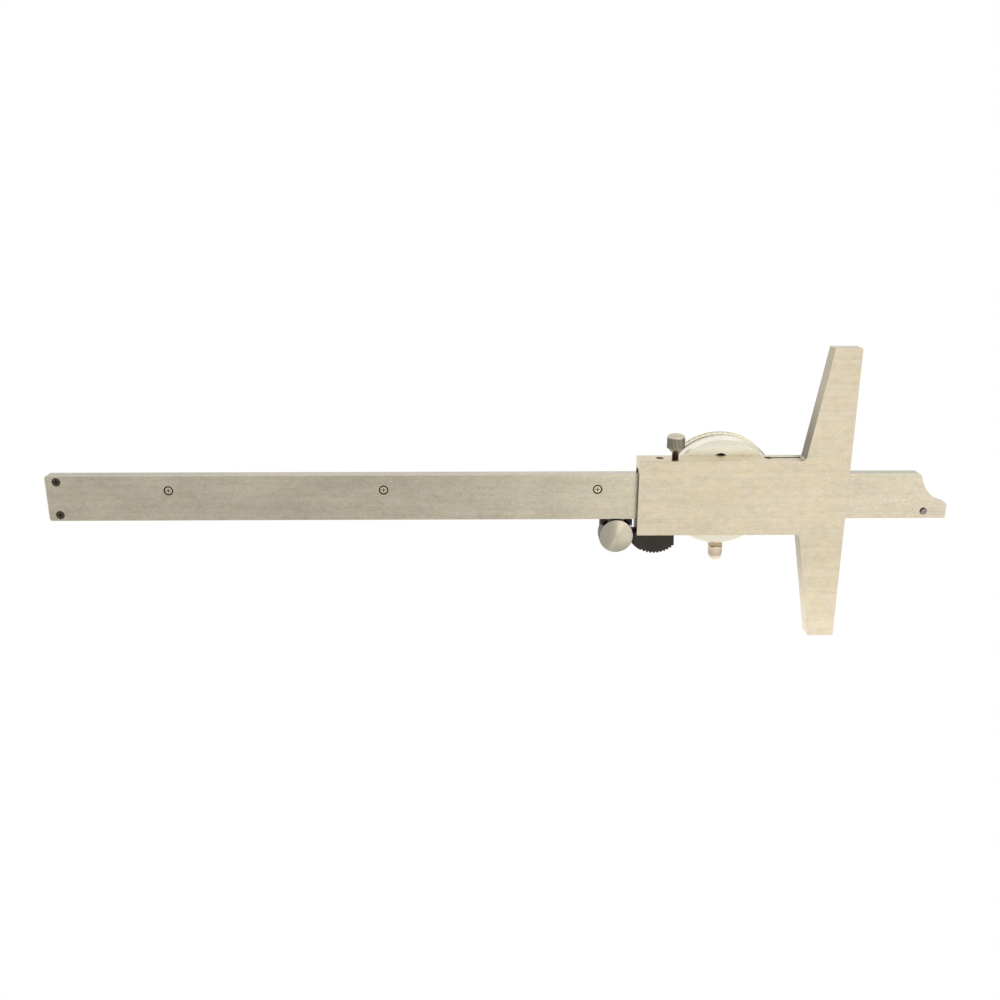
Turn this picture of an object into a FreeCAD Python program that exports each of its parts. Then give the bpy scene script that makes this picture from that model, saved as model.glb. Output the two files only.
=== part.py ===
import FreeCAD, Part
import math
import os

# A dial depth gauge that lies on its back with the dial up.
# X runs along the beam: zero is the measuring face, the nose points to minus X.
# Y is zero on the centre line of the beam, and the clamp screw is on the plus side.
# Z is zero on the flat back of the slider. All lengths are in millimetres.

Vector = FreeCAD.Vector

# Measuring base and slider
base_length = 101.6
base_thick = 6.0
base_tip_width = 8.9
base_root_width = 15.2
arm_fillet = 1.5
slider_length = 71.0
slider_width = 26.2
back_wall = 2.25
front_wall = 1.45
front_setback = 1.0
slide_gap = 0.05

# Beam
beam_length = 306.1
beam_width = 16.0
beam_thick = 4.2
rest_depth = 35.35
nose_arc_radius = 11.9
nose_arc_out = 2.15
nose_arc_high = 9.05
nose_shoulder_radius = 2.0
nose_edge_radius = 0.8
beam_corner_radius = 1.0
nose_pin_radius = 1.15
nose_pin_from_tip = 7.85
nose_pin_low = 5.4
nose_pin_proud = 1.1
pin_recess = 0.06

# Rack and its pinion
turn_travel = 10.0
rack_pinion_teeth = 10
rack_line = 1.3
rack_back = 4.1
rack_from_tip = 41.5
rack_length = 231.5
rack_depth = 2.2
rack_sunk = 0.1
groove_spare = 0.3
groove_lead = 1.2
addendum_share = 0.75
dedendum_share = 1.0
tooth_share = 0.41
tooth_tip_share = 0.2
tooth_root_share = 0.5
rack_flank_angle = 20.0
pinion_floor_gap = 0.4
pinion_height = 1.6

# Screws of the rack, seen on the back of the beam
rack_screw_count = 4
rack_screw_pitch = 72.5
rack_screw_from_tip = 47.45
rack_screw_high = 2.7
rack_screw_head_radius = 1.15
rack_screw_head_height = 0.8
rack_screw_radius = 0.7
rack_screw_bite = 1.1
rack_screw_sunk = 0.08
counterbore_gap = 0.35
cross_share = 0.62
cross_width = 0.34
cross_depth = 0.4

# End stop at the far end of the beam
stop_from_end = 1.0
stop_length = 6.6
stop_side_gap = 0.8
stop_height = 2.0
stop_screw_from_end = 3.85
stop_screw_high = 5.8
stop_screw_radius = 0.8
stop_screw_head_radius = 1.35
stop_screw_head_height = 1.2
stop_screw_sunk = 0.06
stop_screw_short = 0.3

# Gib and the screws in the slider's upper edge
gib_thick = 1.3
gib_end_gap = 1.6
gib_side_gap = 0.15
gib_screw_radius = 1.3
gib_screw_from_face = 26.8
gib_screw_from_end = 7.4
gib_screw_sunk = 0.35
slit_from_arm = 0.7
slit_past_screw = 0.5
slit_height = 1.3

# Screws of the front plate and of the thumb grip
plate_screw_radius = 0.75
plate_screw_head_radius = 1.4
plate_screw_head_height = 0.75
plate_screw_from_face = 7.0
plate_screw_from_end = 3.6
plate_screw_edge = 2.4
plate_screw_bite = 1.45
grip_screw_from_end = 3.0
grip_screw_spacing = 6.6
slot_width = 0.35
slot_depth = 0.3
hole_fit = 0.03
running_fit = 0.04

# Thumb roller and thumb grip
roller_radius = 5.85
roller_from_end = 6.8
roller_thick = 5.2
roller_back = 1.6
roller_gap = 0.06
roller_groove_count = 36
roller_groove_depth = 0.14
roller_floor = 1.6
axle_radius = 1.0
axle_end_gap = 0.3
axle_head_radius = 1.9
axle_head_height = 0.7
axle_boss = 2.6
bracket_back = 3.0
bracket_reach = 11.9
bracket_beam_gap = 0.6
bracket_end_gap = 1.3
pocket_gap = 0.35
pocket_floor_gap = 0.1
grip_radius = 9.8
grip_disc_from_end = 6.6
grip_disc_inside = 2.2
grip_cut_from_end = 13.3
grip_side_gap = 0.05
grip_notch_count = 10
grip_notch_angle = 7.4
grip_notch_middle = -98.0
grip_notch_depth = 0.55
tab_thick = 1.2
tab_width = 3.0
tab_from_end = 1.2
tab_length = 11.0

# Clamp screw
clamp_from_end = 12.4
clamp_high = 3.4
clamp_stem_radius = 1.1
clamp_head_radius = 3.0
clamp_head_gap = 2.45
clamp_cone_length = 1.45
clamp_cone_radius = 1.5
clamp_knurl_length = 3.55
clamp_crown_length = 1.05
clamp_crown_radius = 2.1
clamp_tip_gap = 0.05
clamp_groove_count = 26
clamp_groove_depth = 0.2

# Dial case
dial_from_end = 29.6
case_radius = 19.2
case_wall = 2.2
case_height = 4.0
case_floor = 1.0
case_edge_chamfer = 0.7
neck_wall = 1.2
neck_height = 1.3
case_hole_radius = 2.9
case_hole_along = 0.7
case_hole_high = 10.85
case_window_radius = 3.0
case_screw_along = 10.0
case_screw_radius = 0.75
case_screw_head_radius = 1.3
case_screw_head_height = 0.8

# Movement: plate, bridge and bushes
plate_half_length = 16.2
plate_half_width = 6.9
plate_thick = 1.2
plate_bolt_radius = 0.6
plate_bolt_head_radius = 1.0
plate_bolt_head_height = 0.5
plate_bolt_along = 13.6
plate_bolt_high = 4.6
plate_bolt_short = 0.1
pillar_radius = 1.35
pillar_height = 2.0
pillar_high = 5.3
bridge_thick = 0.8
bridge_half_length = 11.2
bridge_half_width = 2.3
bridge_screw_radius = 0.6
bridge_screw_head_radius = 1.1
bridge_screw_head_height = 0.35
pivot_radius = 0.4
bush_wall = 0.55
drive_arbor_radius = 0.8
window_radius = 2.6

# Wheels
wheel_teeth = 60
centre_pinion_teeth = 12
wheel_module = 0.24
wheel_lift = 0.6
wheel_thick = 0.4
wheel_hub_radius = 1.3
wheel_hub_height = 0.3
arbor_shoulder_gap = 0.12
collet_radius = 0.75

# Hairspring
spring_gap = 0.12
spring_inner_radius = 0.95
spring_step = 1.2
spring_strip = 0.14
spring_height = 0.4
spring_turns = 3
stud_radius = 0.45

# Dial, pointer and bezel
dial_lift = 0.7
dial_thick = 0.4
dial_hole_radius = 1.1
dial_fit = 0.02
pointer_lift = 0.45
pointer_thick = 0.2
pointer_length = 14.4
pointer_tail = 4.6
pointer_tip_width = 0.25
pointer_root_width = 1.1
pointer_tail_width = 1.9
boss_radius = 1.2
boss_lift = 0.25
boss_height = 0.75
boss_cap_share = 0.62
bezel_radius = 19.7
bezel_gap = 0.3
bezel_ledge_radius = 17.1
bezel_ledge_thick = 1.1
bezel_top_wall = 1.6
bezel_chamfer = 1.0
bezel_knurl_inset = 0.12
bezel_knurl_low = 0.8
bezel_knurl_height = 2.0
bezel_groove_count = 60
bezel_groove_depth = 0.3
crystal_thick = 1.0
crystal_sunk = 0.3
spring_ring_depth = 0.35
spring_ring_height = 0.4
spring_ring_from_shoulder = 0.55
spring_ring_gap_angle = 24.0

# Bezel clamp: clip and knob
clip_width = 4.4
clip_low = 1.0
clip_overlap = 2.4
clip_thick = 0.5
clip_gap = 0.25
knob_high = 2.3
knob_radius = 2.5
knob_gap = 0.1
knob_knurl_length = 3.7
knob_crown_length = 1.25
knob_crown_radius = 1.85
knob_stem_radius = 0.7
knob_bite = 0.9
knob_groove_count = 22
knob_groove_depth = 0.16

# One overrun serves every cut that runs out of the material.
overrun = 1.0

# Heights
beam_back = back_wall + slide_gap
beam_front = beam_back + beam_thick
body_front = beam_front + slide_gap
front_face = body_front + front_wall
beam_middle = beam_back + beam_thick / 2
plate_low = front_face + case_floor
plate_high = plate_low + plate_thick
wheel_low = plate_high + wheel_lift
wheel_high = wheel_low + wheel_thick
bridge_low = plate_high + pillar_height
bridge_high = bridge_low + bridge_thick
shoulder = front_face + case_height
neck_top = shoulder + neck_height
dial_low = bridge_high + dial_lift
dial_high = dial_low + dial_thick
pointer_low = dial_high + pointer_lift
bezel_low = shoulder + bezel_gap
ledge_high = dial_high + bezel_ledge_thick
crystal_high = ledge_high + crystal_thick
bezel_high = crystal_high + crystal_sunk
groove_floor = beam_front - rack_depth

# Places along and across
half_slider = slider_width / 2
dial_x = slider_length - dial_from_end
clamp_x = slider_length - clamp_from_end
gib_screw_places = (gib_screw_from_face, slider_length - gib_screw_from_end)
half_beam = beam_width / 2
tip = -rest_depth
far_end = beam_length - rest_depth
channel_low = -half_beam - slide_gap
gib_low = half_beam + slide_gap
gib_high = gib_low + gib_thick
channel_high = gib_high + slide_gap
upper_wall_middle = (channel_high + half_slider) / 2
lower_wall_middle = (channel_low - half_slider) / 2
roller_x = slider_length + roller_from_end
roller_y = -half_beam - roller_gap - roller_radius
case_inside = case_radius - case_wall
neck_radius = case_inside + neck_wall

# Rack and pinion sizes
tooth_pitch = turn_travel / rack_pinion_teeth
rack_module = tooth_pitch / math.pi
pinion_pitch_radius = rack_module * rack_pinion_teeth / 2
pinion_tip_radius = pinion_pitch_radius + addendum_share * rack_module
pinion_y = rack_line - pinion_pitch_radius
wheel_distance = wheel_module * (wheel_teeth + centre_pinion_teeth) / 2
wheel_offset = math.sqrt(wheel_distance ** 2 - pinion_y ** 2)
dial_centre = (dial_x, 0)
drive_centre = (dial_x + wheel_offset, pinion_y)
takeup_centre = (dial_x - wheel_offset, -pinion_y)
drive_direction = math.degrees(math.atan2(pinion_y, wheel_offset))
pointer_travel = turn_travel * centre_pinion_teeth / wheel_teeth
pointer_turns = rest_depth / pointer_travel


def block(x_low, x_high, y_low, y_high, z_low, z_high):
    """A square-cornered solid between two corners."""
    size = Vector(x_high - x_low, y_high - y_low, z_high - z_low)
    return Part.makeBox(size.x, size.y, size.z, Vector(x_low, y_low, z_low))


def drum(centre, radius, low, high):
    """A round solid that stands on the XY plane."""
    return Part.makeCylinder(radius, high - low, Vector(centre[0], centre[1], low))


def cross_rod(x, z, radius, y_start, y_end):
    """A round solid that runs along Y."""
    start = min(y_start, y_end)
    return Part.makeCylinder(radius, abs(y_end - y_start), Vector(x, start, z), Vector(0, 1, 0))


def prism(outline, low, high):
    """A solid from a closed outline of XY points, between two heights."""
    corners = [Vector(x, y, low) for x, y in outline]
    face = Part.Face(Part.makePolygon(corners + corners[:1]))
    return face.extrude(Vector(0, 0, high - low))


def turned(centre, profile):
    """A turned solid from a closed profile of radius and height."""
    corners = [Vector(centre[0] + radius, centre[1], z) for radius, z in profile]
    face = Part.Face(Part.makePolygon(corners + corners[:1]))
    return face.revolve(Vector(centre[0], centre[1], 0), Vector(0, 0, 1), 360)


def turned_across(x, z, profile):
    """A turned solid about a line along Y, from a closed profile of radius and Y."""
    corners = [Vector(x + radius, y, z) for radius, y in profile]
    face = Part.Face(Part.makePolygon(corners + corners[:1]))
    return face.revolve(Vector(x, 0, z), Vector(0, 1, 0), 360)


def polar(centre, radius, angle):
    """The XY point at a radius and an angle in degrees."""
    turn = math.radians(angle)
    return (centre[0] + radius * math.cos(turn), centre[1] + radius * math.sin(turn))


def star(centre, radius, depth, count):
    """The outline of a straight knurl: sharp ridges with grooves between them."""
    outline = []
    for index in range(count):
        outline.append(polar(centre, radius, 360 * index / count))
        outline.append(polar(centre, radius - depth, 360 * (index + 0.5) / count))
    return outline


def gear(centre, teeth, module, phase, low, high):
    """A spur gear with straight flanks, one tooth pointing along the phase angle."""
    pitch_radius = module * teeth / 2
    tip_radius = pitch_radius + addendum_share * module
    root_radius = pitch_radius - dedendum_share * module
    step = 360 / teeth
    outline = []
    for index in range(teeth):
        middle = phase + step * index
        outline.append(polar(centre, root_radius, middle - step * tooth_root_share / 2))
        outline.append(polar(centre, tip_radius, middle - step * tooth_tip_share / 2))
        outline.append(polar(centre, tip_radius, middle + step * tooth_tip_share / 2))
        outline.append(polar(centre, root_radius, middle + step * tooth_root_share / 2))
    return prism(outline, low, high)


def vertical_edge(solid, x, y):
    """The upright edge of a solid that stands nearest to a place."""
    upright = []
    for edge in solid.Edges:
        box = edge.BoundBox
        if box.ZLength > box.XLength and box.ZLength > box.YLength:
            upright.append(edge)
    return min(upright, key=lambda edge: math.hypot(edge.BoundBox.Center.x - x, edge.BoundBox.Center.y - y))


def rounded(solid, radius, places):
    """Rounds the upright edges that stand nearest to the places."""
    for x, y in places:
        solid = solid.makeFillet(radius, [vertical_edge(solid, x, y)])
    return solid


def slotted_screw(centre, radius, head_radius, head_low, head_height, tip_z):
    """A screw with its head up: shank down to the tip, and a slot across the head."""
    head_top = head_low + head_height
    screw = drum(centre, radius, tip_z, head_low).fuse(drum(centre, head_radius, head_low, head_top))
    slot = block(centre[0] - head_radius, centre[0] + head_radius,
                 centre[1] - slot_width / 2, centre[1] + slot_width / 2,
                 head_top - slot_depth, head_top)
    return screw.cut(slot)


def cross_screw(centre, radius, head_radius, low, head_height, end):
    """A flat-headed screw that is put in from the back, with a cross recess in its head."""
    x, y = centre
    seat = low + head_height
    reach = head_radius * cross_share
    half = cross_width / 2
    screw = drum(centre, head_radius, low, seat)
    screw = screw.fuse(drum(centre, radius, seat, end))
    screw = screw.cut(block(x - reach, x + reach, y - half, y + half, low, low + cross_depth))
    return screw.cut(block(x - half, x + half, y - reach, y + reach, low, low + cross_depth))


def save(name, *solids):
    """Writes one node, as one solid or as a group of separate solids."""
    shape = solids[0] if len(solids) == 1 else Part.makeCompound(list(solids))
    shape = shape.removeSplitter() if len(solids) == 1 else shape
    if len(shape.Solids) == 1:
        shape = shape.Solids[0]
    print(name, "solids", len(shape.Solids), "valid", shape.isValid(), "volume", round(shape.Volume, 2))
    shape.exportStep("parts/" + name + ".step")


def rack_screw_places():
    """Where the rack's screws go through the beam."""
    first = tip + rack_screw_from_tip
    return [(first + rack_screw_pitch * index, rack_screw_high) for index in range(rack_screw_count)]


def stop_screw_places():
    """Where the end stop's screws go through the beam."""
    x = far_end - stop_screw_from_end
    return [(x, stop_screw_high), (x, -stop_screw_high)]


def plate_screw_places():
    """The front plate's own screws, two at the base and one at the slider's end."""
    y = half_slider - plate_screw_edge
    near = plate_screw_from_face
    return [(near, y), (near, -y), (slider_length - plate_screw_from_end, y)]


def grip_screw_places():
    """The screws of the thumb grip's tab, on the slider's lower wall."""
    y = -half_slider + tab_width / 2
    first = slider_length - grip_screw_from_end
    return [(first, y), (first - grip_screw_spacing, y)]


def case_screw_places():
    """The case is held by four screws in the slider's two walls."""
    places = []
    for along in (-case_screw_along, case_screw_along):
        places.append((dial_x + along, upper_wall_middle))
        places.append((dial_x + along, lower_wall_middle))
    return places


def plate_bolt_places():
    """The movement plate's screws in the floor of the case."""
    places = []
    for along in (-plate_bolt_along, plate_bolt_along):
        for high in (-plate_bolt_high, plate_bolt_high):
            places.append((dial_x + along, high))
    return places


def pillar_places():
    """The two pillars that carry the bridge."""
    return [(dial_x, pillar_high), (dial_x, -pillar_high)]


def nose_pin_place():
    """Where the stop pin stands in the nose."""
    return (tip + nose_pin_from_tip, -nose_pin_low)


def make_beam():
    """The flat beam with its curved nose, rack groove and screw holes."""
    beam = block(tip, far_end, -half_beam, half_beam, beam_back, beam_front)
    arc_centre = (tip - nose_arc_out, nose_arc_high)
    beam = beam.cut(drum(arc_centre, nose_arc_radius, beam_back - overrun, beam_front + overrun))
    shoulder_x = arc_centre[0] + math.sqrt(nose_arc_radius ** 2 - (half_beam - nose_arc_high) ** 2)
    edge_y = nose_arc_high - math.sqrt(nose_arc_radius ** 2 - nose_arc_out ** 2)
    beam = rounded(beam, nose_shoulder_radius, [(shoulder_x, half_beam)])
    beam = rounded(beam, nose_edge_radius, [(tip, edge_y)])
    beam = rounded(beam, beam_corner_radius, [(far_end, half_beam), (far_end, -half_beam)])
    groove_start = tip + rack_from_tip - groove_lead
    groove_side = pinion_y - pinion_tip_radius - groove_spare
    beam = beam.cut(block(groove_start, far_end + overrun, groove_side, rack_back,
                          groove_floor, beam_front + overrun))
    for place in rack_screw_places():
        beam = beam.cut(drum(place, rack_screw_radius + hole_fit, beam_back, groove_floor))
        seat = beam_back + rack_screw_sunk + rack_screw_head_height
        beam = beam.cut(drum(place, rack_screw_head_radius + counterbore_gap, beam_back - overrun, seat))
    for place in stop_screw_places():
        beam = beam.cut(drum(place, stop_screw_radius + hole_fit, beam_back, beam_front))
        seat = beam_back + stop_screw_sunk + stop_screw_head_height
        beam = beam.cut(drum(place, stop_screw_head_radius + hole_fit, beam_back - overrun, seat))
    beam = beam.cut(drum(nose_pin_place(), nose_pin_radius + hole_fit, beam_back, beam_front))
    save("beam", beam)


def make_rack():
    """The toothed strip in the beam's groove, its teeth towards the pinion."""
    start = tip + rack_from_tip
    end = start + rack_length
    tip_y = rack_line - addendum_share * rack_module
    root_y = rack_line + dedendum_share * rack_module
    slope = math.tan(math.radians(rack_flank_angle))
    half_tip = tooth_share * tooth_pitch / 2 - slope * addendum_share * rack_module
    half_root = tooth_share * tooth_pitch / 2 + slope * dedendum_share * rack_module
    outline = [(end, rack_back), (start, rack_back)]
    first = math.ceil((start - drive_centre[0]) / tooth_pitch)
    last = math.floor((end - drive_centre[0]) / tooth_pitch) - 1
    outline.append((start, root_y))
    for index in range(first, last + 1):
        middle = drive_centre[0] + (index + 0.5) * tooth_pitch
        outline.append((middle - half_root, root_y))
        outline.append((middle - half_tip, tip_y))
        outline.append((middle + half_tip, tip_y))
        outline.append((middle + half_root, root_y))
    outline.append((end, root_y))
    rack = prism(outline, groove_floor, beam_front - rack_sunk)
    for place in rack_screw_places():
        rack = rack.cut(drum(place, rack_screw_radius + hole_fit, groove_floor,
                             groove_floor + rack_screw_bite))
    save("rack", rack)


def make_rack_screws():
    """Flat-headed screws that hold the rack from the back of the beam."""
    low = beam_back + rack_screw_sunk
    screws = []
    for place in rack_screw_places():
        screws.append(cross_screw(place, rack_screw_radius, rack_screw_head_radius, low,
                                  rack_screw_head_height, groove_floor + rack_screw_bite))
    save("rack_screws", *screws)


def make_end_stop():
    """The small plate across the beam's far end, and its two screws, with their heads in the back."""
    high = far_end - stop_from_end
    half = half_beam - stop_side_gap
    top = beam_front + stop_height
    low = beam_back + stop_screw_sunk
    stop = block(high - stop_length, high, -half, half, beam_front, top)
    screws = []
    for place in stop_screw_places():
        stop = stop.cut(drum(place, stop_screw_radius + hole_fit, beam_front, top))
        screws.append(cross_screw(place, stop_screw_radius, stop_screw_head_radius, low,
                                  stop_screw_head_height, top - stop_screw_short))
    save("end_stop", stop)
    save("end_stop_screws", *screws)


def make_nose_pin():
    """The pin through the nose, which stops the slider at zero depth."""
    save("nose_pin", drum(nose_pin_place(), nose_pin_radius, beam_back + pin_recess,
                          beam_front + nose_pin_proud))


def make_slider_body():
    """The slider and the measuring base, one piece, with the beam's channel milled from the front."""
    half_base = base_length / 2
    arms = prism([(0, -half_base), (base_tip_width, -half_base), (base_root_width, -half_slider),
                  (base_root_width, half_slider), (base_tip_width, half_base), (0, half_base)],
                 0, base_thick)
    body = block(0, slider_length, -half_slider, half_slider, 0, body_front)
    body = body.fuse(arms).removeSplitter()
    for side in (-half_slider, half_slider):
        corner = vertical_edge(body, base_root_width, side)
        body = body.makeFillet(arm_fillet, [corner])
    body = body.cut(block(-overrun, slider_length + overrun, channel_low, channel_high,
                          back_wall, body_front + overrun))
    for x in gib_screw_places:
        body = body.cut(cross_rod(x, beam_middle, gib_screw_radius + hole_fit,
                                  channel_high, half_slider + overrun))
    body = body.cut(cross_rod(clamp_x, clamp_high, clamp_stem_radius + running_fit,
                              channel_high, half_slider + overrun))
    body = body.cut(block(base_root_width + slit_from_arm, gib_screw_from_face + slit_past_screw,
                          channel_high - overrun, half_slider + overrun,
                          beam_middle - slit_height / 2, beam_middle + slit_height / 2))
    for place in plate_screw_places() + grip_screw_places() + case_screw_places():
        body = body.cut(drum(place, plate_screw_radius + hole_fit, body_front - plate_screw_bite,
                             body_front + overrun))
    save("slider_body", body)


def make_front_plate():
    """The plate that closes the channel, with the pinion's window and the nose pin's slot."""
    plate = block(front_setback, slider_length, -half_slider, half_slider, body_front, front_face)
    plate = plate.cut(drum(drive_centre, window_radius, body_front, front_face))
    slot_side = nose_pin_radius + groove_spare
    slot_end = nose_pin_from_tip + slot_side
    plate = plate.cut(block(0, slot_end - slot_side, -nose_pin_low - slot_side, -nose_pin_low + slot_side,
                            body_front, front_face))
    plate = plate.cut(drum((slot_end - slot_side, -nose_pin_low), slot_side, body_front, front_face))
    for place in plate_screw_places():
        plate = plate.cut(drum(place, plate_screw_radius + hole_fit, body_front, front_face))
        plate = plate.cut(drum(place, plate_screw_head_radius + hole_fit,
                               front_face - plate_screw_head_height, front_face))
    for place in grip_screw_places() + case_screw_places():
        plate = plate.cut(drum(place, plate_screw_radius + hole_fit, body_front, front_face))
    save("front_plate", plate)


def make_front_plate_screws():
    """Slotted screws, flush with the front plate."""
    screws = []
    for place in plate_screw_places():
        screws.append(slotted_screw(place, plate_screw_radius, plate_screw_head_radius,
                                    front_face - plate_screw_head_height, plate_screw_head_height,
                                    body_front - plate_screw_bite + hole_fit))
    save("front_plate_screws", *screws)


def make_gib():
    """The brass strip between the beam and the slider's upper wall, and its two screws."""
    save("gib_strip", block(gib_end_gap, slider_length - gib_end_gap, gib_low, gib_high,
                            back_wall + gib_side_gap, body_front - gib_side_gap))
    screws = []
    for x in gib_screw_places:
        end = half_slider - gib_screw_sunk
        screw = cross_rod(x, beam_middle, gib_screw_radius, gib_high, end)
        screw = screw.cut(block(x - gib_screw_radius, x + gib_screw_radius, end - slot_depth, end,
                                beam_middle - slot_width / 2, beam_middle + slot_width / 2))
        screws.append(screw)
    save("gib_screws", *screws)


def make_thumb_grip():
    """The thumb grip: a serrated round below the slider, with a bracket past its end for the roller."""
    top = front_face + tab_thick
    right = slider_length - grip_cut_from_end
    left = slider_length + bracket_reach
    under = -half_slider - grip_side_gap
    past_end = slider_length + bracket_end_gap
    disc_centre = (slider_length - grip_disc_from_end, -half_slider + grip_disc_inside)
    disc = drum(disc_centre, grip_radius, bracket_back, top)
    low = disc_centre[1] - grip_radius
    grip = disc.common(block(right, left, low - overrun, under, bracket_back, top))
    carrier = block(past_end, left, roller_y - axle_boss, -half_beam - bracket_beam_gap, bracket_back, top)
    grip = grip.fuse(disc.common(block(past_end, left, low, disc_centre[1], bracket_back, top)))
    grip = grip.fuse(carrier)
    pocket_top = roller_back + roller_thick + pocket_floor_gap
    grip = grip.cut(drum((roller_x, roller_y), roller_radius + pocket_gap, 0, pocket_top))
    tab_high = slider_length - tab_from_end
    tab = block(tab_high - tab_length, tab_high, under, -half_slider + tab_width, front_face, top)
    grip = grip.fuse(tab)
    for index in range(grip_notch_count):
        angle = grip_notch_middle + (index - (grip_notch_count - 1) / 2) * grip_notch_angle
        half = grip_notch_angle / 2
        notch = prism([polar(disc_centre, grip_radius - grip_notch_depth, angle),
                       polar(disc_centre, grip_radius + overrun, angle - half),
                       polar(disc_centre, grip_radius + overrun, angle + half)],
                      bracket_back - overrun, top + overrun)
        grip = grip.cut(notch)
    for place in grip_screw_places():
        grip = grip.cut(drum(place, plate_screw_radius + hole_fit, front_face, top))
    grip = grip.cut(drum((roller_x, roller_y), axle_radius + hole_fit, pocket_top, top))
    save("thumb_grip", grip)


def make_thumb_grip_screws():
    """Two screws through the tab into the slider's lower wall."""
    top = front_face + tab_thick
    screws = []
    for place in grip_screw_places():
        screws.append(slotted_screw(place, plate_screw_radius, plate_screw_head_radius, top,
                                    plate_screw_head_height, body_front - plate_screw_bite + hole_fit))
    save("thumb_grip_screws", *screws)


def make_roller_axle():
    """The headed pin on which the thumb roller turns."""
    centre = (roller_x, roller_y)
    top = front_face + tab_thick
    low = roller_back + roller_floor + axle_end_gap
    axle = slotted_screw(centre, axle_radius, axle_head_radius, top, axle_head_height, low)
    save("roller_axle", axle)


def make_thumb_roller():
    """The steel roller with a serrated rim and a blind bore."""
    centre = (roller_x, roller_y)
    high = roller_back + roller_thick
    roller = prism(star(centre, roller_radius, roller_groove_depth, roller_groove_count), roller_back, high)
    roller = roller.cut(drum(centre, axle_radius + running_fit, roller_back + roller_floor, high))
    save("thumb_roller", roller)


def knurl_cutter(x, z, radius, depth, count, y_start, y_end):
    """What a knurling leaves out of a round band about a line along Y."""
    ridges = prism(star((0, 0), radius, depth, count), 0, y_end - y_start)
    ridges.rotate(Vector(0, 0, 0), Vector(1, 0, 0), -90)
    ridges.translate(Vector(x, y_start, z))
    return cross_rod(x, z, radius + depth, y_start, y_end).cut(ridges)


def make_clamp_screw():
    """The knurled thumbscrew that locks the slider through the gib."""
    neck = half_slider + clamp_head_gap
    knurl = neck + clamp_cone_length
    crown = knurl + clamp_knurl_length
    top = crown + clamp_crown_length
    point = gib_high + clamp_tip_gap
    screw = turned_across(clamp_x, clamp_high, [
        (0, point), (clamp_stem_radius, point), (clamp_stem_radius, neck), (clamp_cone_radius, neck),
        (clamp_head_radius, knurl), (clamp_head_radius, crown), (clamp_crown_radius, top), (0, top)])
    screw = screw.cut(knurl_cutter(clamp_x, clamp_high, clamp_head_radius, clamp_groove_depth,
                                   clamp_groove_count, knurl, crown))
    save("clamp_screw", screw)


def make_dial_case():
    """The round case: floor, wall with a broken back edge, and the neck that the bezel turns on."""
    floor_high = front_face + case_floor
    shell = drum(dial_centre, case_radius, front_face, shoulder)
    back_edges = [edge for edge in shell.Edges if edge.BoundBox.ZMax < (front_face + shoulder) / 2]
    shell = shell.makeChamfer(case_edge_chamfer, back_edges)
    shell = shell.fuse(drum(dial_centre, neck_radius, shoulder, neck_top))
    shell = shell.cut(drum(dial_centre, case_inside, floor_high, neck_top))
    ring_low = shoulder + spring_ring_from_shoulder
    ring_high = ring_low + spring_ring_height
    ring_bottom = neck_radius - spring_ring_depth
    shell = shell.cut(turned(dial_centre, [(ring_bottom, ring_low), (neck_radius + overrun, ring_low),
                                           (neck_radius + overrun, ring_high), (ring_bottom, ring_high)]))
    shell = shell.cut(drum(drive_centre, case_window_radius, front_face, floor_high))
    hole_centre = (dial_x + case_hole_along, case_hole_high)
    shell = shell.cut(drum(hole_centre, case_hole_radius, front_face, floor_high))
    for place in case_screw_places():
        shell = shell.cut(drum(place, case_screw_radius + hole_fit, front_face, floor_high))
    for place in plate_bolt_places():
        shell = shell.cut(drum(place, plate_bolt_radius + hole_fit, front_face, floor_high))
    shell = shell.cut(cross_rod(dial_x, front_face + knob_high, knob_stem_radius + running_fit,
                                -case_radius - overrun, -case_inside + overrun))
    save("dial_case", shell)


def make_case_screws():
    """Four slotted screws from inside the case into the slider's walls."""
    screws = []
    for place in case_screw_places():
        screws.append(slotted_screw(place, case_screw_radius, case_screw_head_radius,
                                    front_face + case_floor, case_screw_head_height,
                                    body_front - plate_screw_bite + hole_fit))
    save("case_screws", *screws)


def bush_radius(pivot):
    """The outside of a bush round a pivot of this radius."""
    return pivot + running_fit + bush_wall


def make_movement_plate():
    """The brass plate on the case's floor that carries the wheels' lower pivots."""
    x, y = dial_centre
    straight = plate_half_length - plate_half_width
    plate = block(x - straight, x + straight, -plate_half_width, plate_half_width, plate_low, plate_high)
    for side in (-straight, straight):
        plate = plate.fuse(drum((x + side, y), plate_half_width, plate_low, plate_high))
    plate = plate.removeSplitter()
    plate = plate.cut(drum(dial_centre, bush_radius(pivot_radius), plate_low, plate_high))
    plate = plate.cut(drum(takeup_centre, bush_radius(pivot_radius), plate_low, plate_high))
    plate = plate.cut(drum(drive_centre, bush_radius(drive_arbor_radius), plate_low, plate_high))
    for place in plate_bolt_places():
        plate = plate.cut(drum(place, plate_bolt_radius + hole_fit, plate_low, plate_high))
        plate = plate.cut(drum(place, plate_bolt_head_radius + hole_fit,
                               plate_high - plate_bolt_head_height, plate_high))
    for place in pillar_places():
        plate = plate.cut(drum(place, bridge_screw_radius + hole_fit, plate_low, plate_high))
    save("movement_plate", plate)


def make_plate_screws():
    """Four small screws, flush with the movement plate."""
    screws = []
    for place in plate_bolt_places():
        screws.append(slotted_screw(place, plate_bolt_radius, plate_bolt_head_radius,
                                    plate_high - plate_bolt_head_height, plate_bolt_head_height,
                                    front_face + plate_bolt_short))
    save("movement_plate_screws", *screws)


def make_pillars():
    """Two tubes that hold the bridge off the plate."""
    pillars = []
    for place in pillar_places():
        pillar = drum(place, pillar_radius, plate_high, bridge_low)
        pillars.append(pillar.cut(drum(place, bridge_screw_radius + hole_fit, plate_high, bridge_low)))
    save("bridge_pillars", *pillars)


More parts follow.
